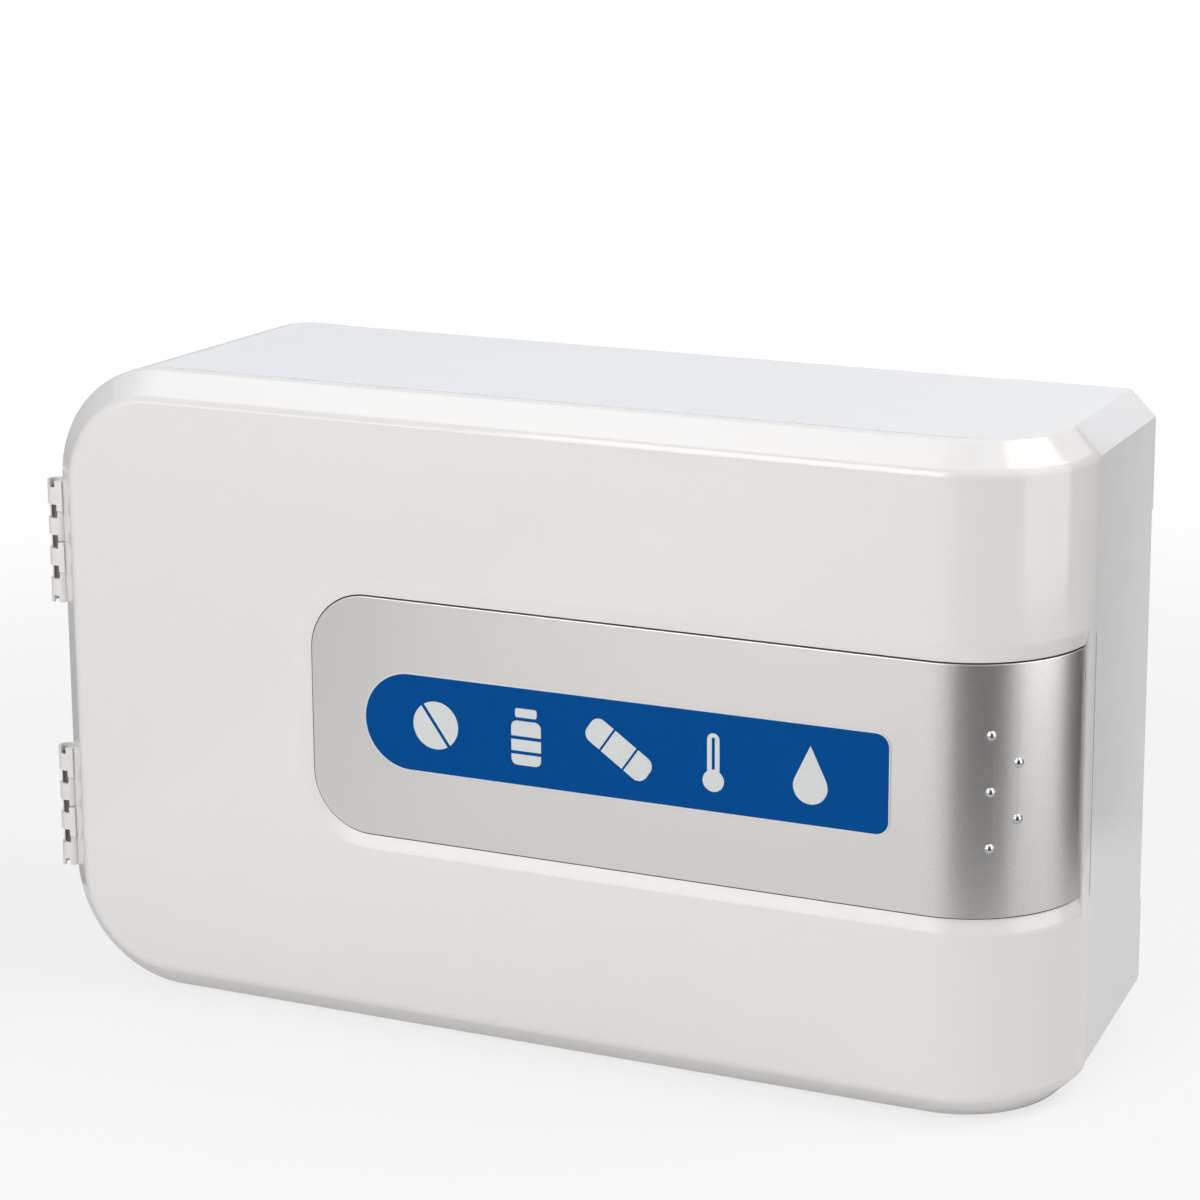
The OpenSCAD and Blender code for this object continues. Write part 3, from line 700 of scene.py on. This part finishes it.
door = begin("moulded_door", (bend_x, face + seat, middle))
for sink, rise in ((0, recess_top - middle), (slope_drop - seat, 0), (-slope_drop, slope_w),
                   (0, door_high.z - door_bevel - slope_top), (door_bevel, door_bevel),
                   (door_edge - door_bevel, 0)):
    bpy.ops.mesh.extrude_vertices_move(TRANSFORM_OT_translate={"value": (0, sink, rise)})
for corner_z, corner_depth, width, steps in (
        (recess_top, slope_drop, 0.25, 2), (slope_top, 0, 0.9, 4),
        (door_high.z - door_bevel, 0, 2.0, 6), (door_high.z, door_bevel, 1.0, 4)):
    pick("VERT", lambda p: near(p.z, corner_z) and near(depth(p), corner_depth))
    round_corners(width * mm, steps)
heights = [v.co.z for v in bmesh.from_edit_mesh(door.data).verts if depth(v.co) < hair]
flat_low, flat_high = min(heights), max(heights)

# the straight run of the whole profile, then the recess round the panel's corner
pick("VERT", lambda p: near(p.x, bend_x))
extrude(x=panel_corner[0] - bend_x)
pick("VERT", lambda p: near(p.x, panel_corner[0]) and recess_top - hair < p.z < flat_low + hair)
spin(corner_steps, 90, panel_corner, (0, 1, 0))
extrude(z=middle - panel_corner[2])

# the border runs on to the door's corner and down its left side
pick("VERT", lambda p: near(p.x, panel_corner[0]) and p.z > flat_high - hair)
extrude(x=door_corner[0] - panel_corner[0])
spin(corner_steps, 90, door_corner, (0, 1, 0))
extrude(z=middle - door_corner[2])


# the flat front between the border and the recess, and the recess's floor
def round_the_corner(p, corner, edge_z):
    """whether a point of the flat front lies on a line that runs along the top, round a
    corner and down the left side"""
    if not near(p.y, face) or p.x > panel_corner[0] + hair:
        return False
    across, up = p.x - corner[0], p.z - corner[2]
    if across < 0 < up:
        return near((across ** 2 + up ** 2) ** 0.5, edge_z - corner[2])
    return near(up if across >= 0 else -across, edge_z - corner[2])


pick("EDGE", lambda p: round_the_corner(p, door_corner, flat_high))
pick("EDGE", lambda p: round_the_corner(p, panel_corner, flat_low), keep=True)
bpy.ops.mesh.bridge_edge_loops()
pick("VERT", lambda p: near(p.y, face + seat) and p.x < panel_corner[0] + hair)
bpy.ops.mesh.edge_face_add()

# the bend: the whole profile as far as the recess reaches, then the plain rim
pick("VERT", lambda p: near(p.x, bend_x))
spin(bend_steps, -recess_end, bend_axis, (0, 0, 1))
pick("VERT", lambda p: at_recess_end(p) and near(p.z, flat_low) and near(depth(p), 0))
ramp = s_curve(gap_run, gap_door)
gap_top = middle + gap_h / 2
for step in (gap_top - flat_low, *(-rise for rise, _ in ramp), middle - gap_top + gap_run):
    bpy.ops.mesh.extrude_vertices_move(TRANSFORM_OT_translate={"value": (0, 0, step)})
pick("VERT", lambda p: at_recess_end(p) and p.z < flat_low + hair)
bpy.ops.mesh.edge_face_add()
pick("VERT", lambda p: at_recess_end(p) and (
    p.z > flat_low - hair or near(depth(p), 0) and p.z < gap_top + hair))
spin(end_steps, recess_end - 90, bend_axis, (0, 0, 1))

# the end wall, with the S-shaped ends of the finger gap
pick("VERT", lambda p: near(p.y, bend_y) and near(p.x, door_high.x))
extrude(x=-door_edge)
pick("VERT", lambda p: near(p.y, bend_y) and p.x > bend_x and p.z > flat_high - hair)
bpy.ops.mesh.edge_face_add()
for step in range(len(ramp) + 1):
    share = step / len(ramp)
    pick("VERT", lambda p: p.y > bend_y - tolerance and near(p.z, gap_top - share * gap_run))
    bpy.ops.transform.translate(value=(0, -gap_door * (1 - cos(pi * share)) / 2, 0))
pick("VERT", lambda p: near(p.y, bend_y) and near(p.z, middle) and p.x > bend_x)
bpy.ops.transform.translate(value=(0, -gap_door, 0))
bpy.ops.mesh.select_all(action="SELECT")
bpy.ops.mesh.normals_make_consistent(inside=False)
bpy.ops.object.mode_set(mode="OBJECT")
mirror_down(door, middle)
modify(door, "SOLIDIFY", thickness=door_wall, offset=-1, use_even_offset=True,
       use_quality_normals=True)
soften(door, door_soft, 3, 40)

# inside: blocks for the hinge screws behind the bevel, and the boss of the strike's screw
block_left, block_front = door_low.x + 1.2 * mm, face + 2 * mm
block_chamfer, block_soft, boss_l = 7.3 * mm, 0.4 * mm, 8 * mm
back = face + door_edge
inside, pockets = [], []
for bottom, top in hinge_spans:
    piece = block((block_left, block_front, bottom - rib_t),
                  (door_low.x + leaf_w + rib_t, back - leaf_t, top + rib_t), 0)
    bpy.ops.object.mode_set(mode="EDIT")
    pick("EDGE", lambda p: near(p.x, block_left) and near(p.y, block_front))
    bpy.ops.mesh.bevel(affect="EDGES", offset=block_chamfer, segments=1)
    bpy.ops.object.mode_set(mode="OBJECT")
    soften(piece, block_soft)
    inside.append(piece)
    pockets.append(block((door_low.x - reach, back - leaf_t, bottom - leaf_play / 2),
                         (door_low.x + leaf_w + leaf_play, back + reach, top + leaf_play / 2), 0))
strike_low, strike_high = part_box("strike_plate")
strike_x, strike_z = (strike_low.x + strike_high.x) / 2, (strike_low.z + strike_high.z) / 2
inside.append(rod((strike_high.x - strike_low.x) / 2, boss_l,
                  (strike_x, strike_low.y - root - boss_l / 2, strike_z)))
merge(door, inside)
cut(door, pockets)

# holes for the panel's pegs
peg_r, peg_inset, peg_out, peg_play = 1.5 * mm, 14 * mm, 2.3 * mm, 0.05 * mm
peg_places = [(x, face + seat, z)
              for x in (panel_left + peg_inset, (panel_left + bend_x) / 2, bend_x - peg_inset)
              for z in (panel_high - peg_inset, 2 * middle - panel_high + peg_inset)]
cut(door, [rod(peg_r + peg_play, 6 * door_wall, spot) for spot in peg_places])
shade(door)

paint = finish([door], "door_white", {"IOR": 1.5})
drive(noise(paint, 7, 3).mix((0.84, 0.838, 0.832), (0.825, 0.824, 0.82)), "Base Color")
drive(noise(paint, 55, 3) * 0.06 + 0.09, "Roughness")
relief(paint, noise(paint, 2600, 3), 0.006 * mm)

# painted shade: the panel's seat and the wall below it are coloured near-black, so that the gap
# round the panel reads dark
seat_shade_paint = finish([door], "seat_painted_shade", {"Specular IOR Level": 0.2})
drive(noise(seat_shade_paint, 800, 3).mix((0.05, 0.05, 0.052), (0.075, 0.075, 0.078)), "Base Color")
drive(noise(seat_shade_paint, 300) * 0.2 + 0.6, "Roughness")
bpy.ops.object.select_all(action="DESELECT")
bpy.context.view_layer.objects.active = door
door.select_set(True)
bpy.ops.object.mode_set(mode="EDIT")
margin = 0.05 * mm
pick("FACE", lambda p: slope_drop + margin < depth(p) < seat + margin
     and abs(p.z - middle) < recess_top - middle + 2 * margin
     and p.x > panel_left - panel_gap - 2 * margin)
door.active_material_index = 1
bpy.ops.object.material_slot_assign()
bpy.ops.object.mode_set(mode="OBJECT")
place(door, "door", "door_shell", "door_plastic")

# Trim panel
# Satin silver sheet metal, stamped with round left corners and rolled round the bend. Pegs
# on its back pass through the door and are held by push-on clips.
panel_low_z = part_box("trim_panel")[0].z
panel_face, panel_t = face + 1 * mm, 1.2 * mm
panel_soft, peg_soft, peg_root = 0.22 * mm, 0.25 * mm, 0.2 * mm

panel = upright("silver_panel", panel_left, bend_x, panel_low_z, panel_high, panel_face)
pick("VERT", lambda p: near(p.x, panel_left))
round_corners(panel_r, corner_steps)
pick("EDGE", lambda p: near(p.x, bend_x))
spin(bend_steps, -panel_end, bend_axis, (0, 0, 1))
bpy.ops.mesh.select_all(action="SELECT")
bpy.ops.mesh.remove_doubles(threshold=weld)
bpy.ops.mesh.normals_make_consistent(inside=False)
bpy.ops.object.mode_set(mode="OBJECT")
modify(panel, "SOLIDIFY", thickness=panel_t, offset=-1, use_even_offset=True)
soften(panel, panel_soft)

# holes for the five grip studs, in two columns on the bend
rivet_r, stud_pitch, stud_angles = 0.8 * mm, 9.5 * mm, (29, 41.5)
stud_rows = (-2, -1, 0, 1, 2)


def on_bend(row, profile):
    """a turned piece that points out of the panel at a stud's place on the bend"""
    piece = lathe("grip_stud", (bend_x, panel_face, middle + row * stud_pitch),
                  (0, -1, 0), (1, 0, 0), profile, 32)
    bpy.context.scene.cursor.location = bend_axis
    bpy.ops.object.origin_set(type="ORIGIN_CURSOR")
    piece.rotation_euler.z = radians(stud_angles[row % 2])
    bpy.ops.object.transform_apply()
    return piece


drill = [(0, 2 * mm), (rivet_r, 2 * mm), (rivet_r, -4 * mm), (0, -4 * mm)]
cut(panel, [on_bend(row, drill) for row in stud_rows])

# the pegs, each rooted a little in the panel's back
pegs = [rod(peg_r, door_wall + peg_out + peg_root,
            (x, y + (door_wall + peg_out - peg_root) / 2, z)) for x, y, z in peg_places]
for peg in pegs:
    soften(peg, peg_soft)
join(panel, pegs)
shade(panel)
metal = finish([panel], "panel_silver", {"Metallic": 1.0})
flecks = noise(metal, 3800, 1)
drive((flecks * 2.4 - 0.7).mix((0.59, 0.58, 0.567), (0.72, 0.71, 0.695)), "Base Color")
drive(noise(metal, 900, 2) * 0.1 + 0.30, "Roughness")
relief(metal, flecks, 0.004 * mm)
place(panel, "door", "trim_panel", "trim_metal")

# Label
# Blue plastic plate, round at its left end and stuck on the panel. It is printed with a pale
# line along its edge and five plain shapes.
label_low, label_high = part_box("label_plate")
label_end_r, label_corner_r, label_soft, label_line = 17.5 * mm, 5 * mm, 0.08 * mm, 0.35 * mm
label = upright("blue_label", label_low.x, label_high.x, label_low.z, label_high.z, label_low.y)
pick("VERT", lambda p: near(p.x, label_low.x))
round_corners(label_end_r, corner_steps)
pick("VERT", lambda p: near(p.x, label_high.x))
round_corners(label_corner_r, 12)
bpy.ops.mesh.select_all(action="SELECT")
bpy.ops.mesh.remove_doubles(threshold=weld)
bpy.ops.object.mode_set(mode="OBJECT")
modify(label, "SOLIDIFY", thickness=label_high.y - label_low.y, offset=-1)
soften(label, label_soft, 2)

# the print: a tablet with a score line, a bottle, a plaster, a thermometer and a drop
print_t, icon_h, icon_pitch, icon_turn = 0.05 * mm, 20 * mm, 34 * mm, 35
label_x = (label_low.x + label_high.x) / 2
label_y, label_z = label_low.y, (label_low.z + label_high.z) / 2


def turn_print(x, z, turn):
    """turns what is being edited about its middle on the label"""
    bpy.ops.mesh.select_all(action="SELECT")
    bpy.ops.transform.rotate(value=radians(turn), orient_axis="Y", center_override=(x, label_y, z))


def patch(x, z, width, height, corner=0.0, turn=0.0):
    """one thin printed shape: a rectangle with round corners, turned about its middle"""
    piece = upright("print", x - width / 2, x + width / 2, z - height / 2, z + height / 2, label_y)
    if corner:
        bpy.ops.mesh.select_all(action="SELECT")
        round_corners(corner, 10)
        bpy.ops.mesh.select_all(action="SELECT")
        bpy.ops.mesh.remove_doubles(threshold=weld)
    if turn:
        turn_print(x, z, turn)
    bpy.ops.object.mode_set(mode="OBJECT")
    modify(piece, "SOLIDIFY", thickness=print_t, offset=1)
    return piece


def slit(x, z, width, height, turn=0.0):
    """what parts a printed shape in two"""
    piece = block((x - width / 2, label_y - mm, z - height / 2),
                  (x + width / 2, label_y + mm, z + height / 2), 0)
    bpy.ops.object.mode_set(mode="EDIT")
    turn_print(x, z, turn)
    bpy.ops.object.mode_set(mode="OBJECT")
    return piece


columns = [label_x + i * icon_pitch for i in (-2, -1, 0, 1, 2)]
tablet_w, score_w = 17 * mm, 1.2 * mm
tablet = patch(columns[0], label_z, tablet_w, tablet_w, tablet_w / 2)
cut(tablet, [slit(columns[0], label_z, score_w, icon_h, icon_turn)])

bottle_w, shoulder_r, cap_w, cap_h, cap_r = 11 * mm, 2.2 * mm, 8 * mm, 3.2 * mm, 0.8 * mm
tag_z, tag_h, tag_gap = label_z - 3 * mm, 4 * mm, 1.2 * mm
bottle = patch(columns[1], label_z - shoulder_r, bottle_w, icon_h - 2 * shoulder_r, shoulder_r)
cut(bottle, [slit(columns[1], tag_z, bottle_w + 0.2 * mm, tag_h + 2 * tag_gap)])
tag = patch(columns[1], tag_z, bottle_w, tag_h)
cap = patch(columns[1], label_z + (icon_h - cap_h) / 2, cap_w, cap_h, cap_r)

plaster_l, plaster_w, plaster_r = 26 * mm, 9.4 * mm, 3.4 * mm
fold_off, fold_w, fold_l = 5 * mm, 0.8 * mm, 12 * mm
plaster = patch(columns[2], label_z, plaster_l, plaster_w, plaster_r, -icon_turn)
cut(plaster, [slit(columns[2] + side * fold_off * cos(radians(icon_turn)),
                   label_z - side * fold_off * sin(radians(icon_turn)), fold_w, fold_l, -icon_turn)
              for side in (-1, 1)])

tube_w, tube_l, tube_rise, bulb_w, bulb_drop = 4.4 * mm, 16 * mm, 2 * mm, 7.6 * mm, 6.4 * mm
mercury_w, mercury_l, mercury_rise = 1.1 * mm, 11 * mm, 3 * mm
tube = patch(columns[3], label_z + tube_rise, tube_w, tube_l, tube_w / 2)
merge(tube, [patch(columns[3], label_z - bulb_drop, bulb_w, bulb_w, bulb_w / 2)])
cut(tube, [slit(columns[3], label_z + mercury_rise, mercury_w, mercury_l)])

drop_r = 6 * mm
drop_z = label_z - icon_h / 2 + drop_r
tip_rise = label_z + icon_h / 2 - drop_z
tangent = (tip_rise ** 2 - drop_r ** 2) ** 0.5 * drop_r / tip_rise
drop = begin("print", (columns[4], label_y, drop_z + tip_rise))
bpy.ops.mesh.extrude_vertices_move(TRANSFORM_OT_translate={
    "value": (tangent, 0, drop_r ** 2 / tip_rise - tip_rise)})
spin(24, degrees(2 * atan2(tangent, drop_r ** 2 / tip_rise) - 2 * pi),
     (columns[4], label_y, drop_z), (0, 1, 0))
bpy.ops.mesh.select_all(action="SELECT")
bpy.ops.mesh.edge_face_add()
bpy.ops.object.mode_set(mode="OBJECT")
# the outline may face either way, so the print grows towards the viewer by its normal
modify(drop, "SOLIDIFY", thickness=print_t, offset=-drop.data.polygons[0].normal.y)
printed = [tablet, bottle, tag, cap, plaster, tube, drop]

blue = finish([label], "label_blue", {"Specular IOR Level": 0.03})
drive(noise(blue, 300, 3).mix((0.0, 0.069, 0.285), (0.001, 0.077, 0.305)), "Base Color")
drive(noise(blue, 90) * 0.12 + 0.26, "Roughness")
pale = finish([label], "label_pale", {"Specular IOR Level": 0.3})
drive(noise(pale, 500, 3).mix((0.72, 0.76, 0.76), (0.66, 0.71, 0.72)), "Base Color")
drive(noise(pale, 90) * 0.1 + 0.35, "Roughness")
bpy.ops.object.select_all(action="DESELECT")
bpy.context.view_layer.objects.active = label
label.select_set(True)
bpy.ops.object.mode_set(mode="EDIT")
pick("FACE", lambda p: near(p.y, label_y))
bpy.ops.mesh.inset(thickness=label_line, depth=0)
bpy.ops.mesh.select_all(action="INVERT")
label.active_material_index = 1
bpy.ops.object.material_slot_assign()
bpy.ops.object.mode_set(mode="OBJECT")
for piece in printed:
    piece.data.materials.append(label.data.materials[1])
join(label, printed)
shade(label)
place(label, "door", "label_plate", "label")

# Grip studs
# Five small chromed steel studs with domed heads, which mark the grip on the bend. Each is
# turned, and riveted through the trim panel.
stud_r, stud_rise, dome_steps = 1.75 * mm, 1.1 * mm, 8
dome_r = (stud_r ** 2 + stud_rise ** 2) / (2 * stud_rise)
dome_turn = atan2(stud_r, dome_r - stud_rise) / dome_steps
dome = [(dome_r * sin(dome_turn * i), dome_r * cos(dome_turn * i) - dome_r + stud_rise)
        for i in range(dome_steps + 1)]
studs = [on_bend(row, [*dome, (stud_r, 0), (rivet_r, 0), (rivet_r, -panel_t), (0, -panel_t)])
         for row in stud_rows]
join(studs[0], studs[1:])
grip = studs[0]
grip.name = "chrome_studs"
shade(grip)
chrome = finish([grip], "stud_chrome", {"Metallic": 1.0})
drive(noise(chrome, 700, 2).mix((0.55, 0.55, 0.56), (0.48, 0.48, 0.49)), "Base Color")
drive(noise(chrome, 900, 2) * 0.08 + 0.08, "Roughness")
place(grip, "door", "grip_studs", "chrome")

# Hinges
# Two white plastic hinges with steel pins. Each has four knuckles with open windows
# between them and hollow, slotted ends. Their leaves are screwed to the body and the door.
leaves = {side + "_hinge_" + body + "_leaf": body for side in ("upper", "lower")
          for body in ("body", "door")}
leaf_soft, pin_bevel = 0.2 * mm, 0.25 * mm
leaf_pieces = {name: softened(name, "leaf_" + name, leaf_soft) for name in leaves}
nylon = finish(leaf_pieces.values(), "hinge_white", {"IOR": 1.52})
drive(noise(nylon, 60, 3).mix((0.82, 0.815, 0.805), (0.78, 0.775, 0.765)), "Base Color")
drive(noise(nylon, 300, 3) * 0.12 + 0.36, "Roughness")
relief(nylon, noise(nylon, 2200, 3), 0.01 * mm)
for name, body in leaves.items():
    place(leaf_pieces[name], "cabinet" if body == "body" else "door", name, "hinge_plastic")

pins = {}
for name in ("upper_hinge_pin", "lower_hinge_pin"):
    low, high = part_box(name)
    pin_r, pin_l = (high.x - low.x) / 2, high.z - low.z
    pins[name] = lathe(
        "pin_" + name, ((low.x + high.x) / 2, (low.y + high.y) / 2, low.z), (0, 0, 1), (1, 0, 0),
        [(0, 0), (pin_r - pin_bevel, 0), (pin_r, pin_bevel), (pin_r, pin_l - pin_bevel),
         (pin_r - pin_bevel, pin_l), (0, pin_l)], 32)
    shade(pins[name])
# the pins are steel, and their dark brownish grey is partly painted shade: through the knuckles'
# open windows they stand in for the shaded inside of the knuckles
dark = finish(pins.values(), "pin_steel_window_shade", {"Metallic": 1.0})
drive(noise(dark, 600, 3).mix((0.17, 0.155, 0.14), (0.12, 0.11, 0.10)), "Base Color")
drive(noise(dark, 900, 3) * 0.2 + 0.4, "Roughness")
for name, piece in pins.items():
    place(piece, "cabinet", name, "steel")

# Screws
# Zinc plated steel screws with countersunk heads and a cross recess. They hold the hinge
# leaves, the catch and the strike plate, and each is turned to an angle of its own.
head_r, head_edge, head_sink, head_depth = 2.28 * mm, 0.15 * mm, 0.02 * mm, 1.2 * mm
thread_r, first_turn, next_turn = 1.1 * mm, 25, 65
recess_w, recess_l, recess_d = 0.55 * mm, 2.5 * mm, 0.9 * mm


def screw(length):
    """a screw whose head faces up at the origin"""
    piece = lathe("screw", (0, 0, 0), (0, 0, -1), (1, 0, 0), [
        (0, head_sink), (head_r - head_edge, head_sink), (head_r, head_edge),
        (thread_r, head_depth), (thread_r, length - thread_r), (0, length)], 40)
    for width, height in ((recess_l, recess_w), (recess_w, recess_l)):
        cut(piece, [block((-width / 2, -height / 2, -recess_d), (width / 2, height / 2, mm), 0)])
    return piece


def screws(name, length, places, turn):
    """one piece of all the screws of a node"""
    copies = []
    for number, spot in enumerate(places):
        piece = screw(length)
        piece.rotation_euler = turn
        piece.rotation_euler.rotate_axis("Z", radians(first_turn + next_turn * number))
        piece.location = spot
        bpy.ops.object.select_all(action="DESELECT")
        piece.select_set(True)
        bpy.context.view_layer.objects.active = piece
        bpy.ops.object.transform_apply()
        copies.append(piece)
    join(copies[0], copies[1:])
    copies[0].name = copies[0].data.name = name
    shade(copies[0])
    return copies[0]


screw_l, catch_screw_l = 7 * mm, 5.5 * mm
leaf_screw_x, leaf_screw_end = door_low.x + 10 * mm, 9 * mm
screw_heights = [z for bottom, top in hinge_spans
                 for z in (bottom + leaf_screw_end, top - leaf_screw_end)]
catch_low, catch_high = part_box("catch_screws")
all_screws = {
    "body_leaf_screws": screws("body_screws", screw_l, [
        (leaf_screw_x, body_low.y, z) for z in screw_heights], (pi / 2, 0, 0)),
    "door_leaf_screws": screws("door_screws", screw_l, [
        (leaf_screw_x, back, z) for z in screw_heights], (-pi / 2, 0, 0)),
    "catch_screws": screws("housing_screws", catch_screw_l, [
        (catch_low.x, (catch_low.y + catch_high.y) / 2, z)
        for z in (catch_low.z + head_r, catch_high.z - head_r)], (0, -pi / 2, 0)),
    "strike_screw": screws("plate_screw", screw_l, [
        (strike_x, strike_high.y, strike_z)], (-pi / 2, 0, 0))}
steel = finish(all_screws.values(), "bright_steel", {"Metallic": 1.0})
drive(noise(steel, 500, 3).mix((0.60, 0.61, 0.62), (0.50, 0.505, 0.51)), "Base Color")
drive(noise(steel, 1500, 3) * 0.2 + 0.2, "Roughness")
for name, piece in all_screws.items():
    on_door = name in ("door_leaf_screws", "strike_screw")
    place(piece, "door" if on_door else "cabinet", name, "steel")

# Catch
# A ferrite magnet between two steel pole plates, in a white plastic housing that is screwed
# behind the flange. It holds the brownish plated strike plate on the door's end.
housing = softened("catch_housing", "catch_case", 0.25 * mm)
white = finish([housing], "catch_white", {"IOR": 1.5})
drive(noise(white, 80, 3).mix((0.74, 0.74, 0.73), (0.70, 0.70, 0.69)), "Base Color")
drive(noise(white, 300, 3) * 0.1 + 0.4, "Roughness")
place(housing, "cabinet", "catch_housing", "catch_plastic")

magnet = block(*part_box("catch_magnet"), 0.15 * mm)
magnet.name = "ferrite_magnet"
shade(magnet)
ferrite = finish([magnet], "dark_ferrite", {"Metallic": 0.3})
drive(noise(ferrite, 900, 4).mix((0.035, 0.034, 0.033), (0.07, 0.068, 0.066)), "Base Color")
drive(noise(ferrite, 1200, 3) * 0.25 + 0.45, "Roughness")
relief(ferrite, noise(ferrite, 1500, 4), 0.03 * mm)
place(magnet, "cabinet", "catch_magnet", "magnet")

pole_t = 1.2 * mm
poles = [block((left, pole_low.y, pole_low.z), (left + pole_t, pole_high.y, pole_high.z), 0.2 * mm)
         for left in (pole_low.x, pole_high.x - pole_t)]
join(poles[0], poles[1:])
poles[0].name = "pole_pair"
shade(poles[0])
plated = finish(poles[:1], "pole_steel", {"Metallic": 1.0})
drive(noise(plated, 300, 4).mix((0.56, 0.56, 0.57), (0.46, 0.455, 0.45)), "Base Color")
drive(noise(plated, 900, 3, (1, 0.1, 1)) * 0.25 + 0.22, "Roughness")
place(poles[0], "cabinet", "catch_pole_plates", "steel")

strike = softened("strike_plate", "strike_sheet", 0.18 * mm)
brown = finish([strike], "brown_plating", {"Metallic": 1.0})
drive(noise(brown, 250, 4).mix((0.62, 0.50, 0.40), (0.50, 0.40, 0.33)), "Base Color")
drive(noise(brown, 800, 3, (1, 1, 0.1)) * 0.2 + 0.25, "Roughness")
place(strike, "door", "strike_plate", "strike_metal")

# Panel clips
# Push-on washers stamped from spring steel, with six slits. Each is pressed over one of the
# panel's pegs behind the door and grips it.
clip_r, clip_t, clip_bore, clip_rise, clip_rim = 4.5 * mm, 0.6 * mm, 1.58 * mm, 0.5 * mm, 1.6 * mm
slit_reach, slit_half, slit_depth = 2.7 * mm, 0.2 * mm, 6 * mm
clips = []
for x, y, z in peg_places:
    clip = lathe("push_clip", (x, y + door_wall, z), (0, 1, 0), (1, 0, 0), [
        (clip_r, 0), (clip_r, clip_t), (clip_r - clip_rim, clip_t), (clip_bore, clip_t + clip_rise),
        (clip_bore, clip_rise), (clip_r - clip_rim, 0), (clip_r, 0)], 48)
    slits = []
    for turn in (20, 80, 140):
        slits.append(block((x - slit_reach, y, z - slit_half),
                           (x + slit_reach, y + slit_depth, z + slit_half), 0))
        bpy.ops.object.mode_set(mode="EDIT")
        bpy.ops.mesh.select_all(action="SELECT")
        bpy.ops.transform.rotate(value=radians(turn), orient_axis="Y", center_override=(x, y, z))
        bpy.ops.object.mode_set(mode="OBJECT")
    cut(clip, slits)
    clips.append(clip)
join(clips[0], clips[1:])
clips[0].name = "push_clips"
shade(clips[0])
spring = finish(clips[:1], "spring_steel", {"Metallic": 1.0})
drive(noise(spring, 400, 3).mix((0.42, 0.42, 0.43), (0.34, 0.34, 0.35)), "Base Color")
drive(noise(spring, 900, 3) * 0.2 + 0.25, "Roughness")
place(clips[0], "door", "panel_clips", "steel")
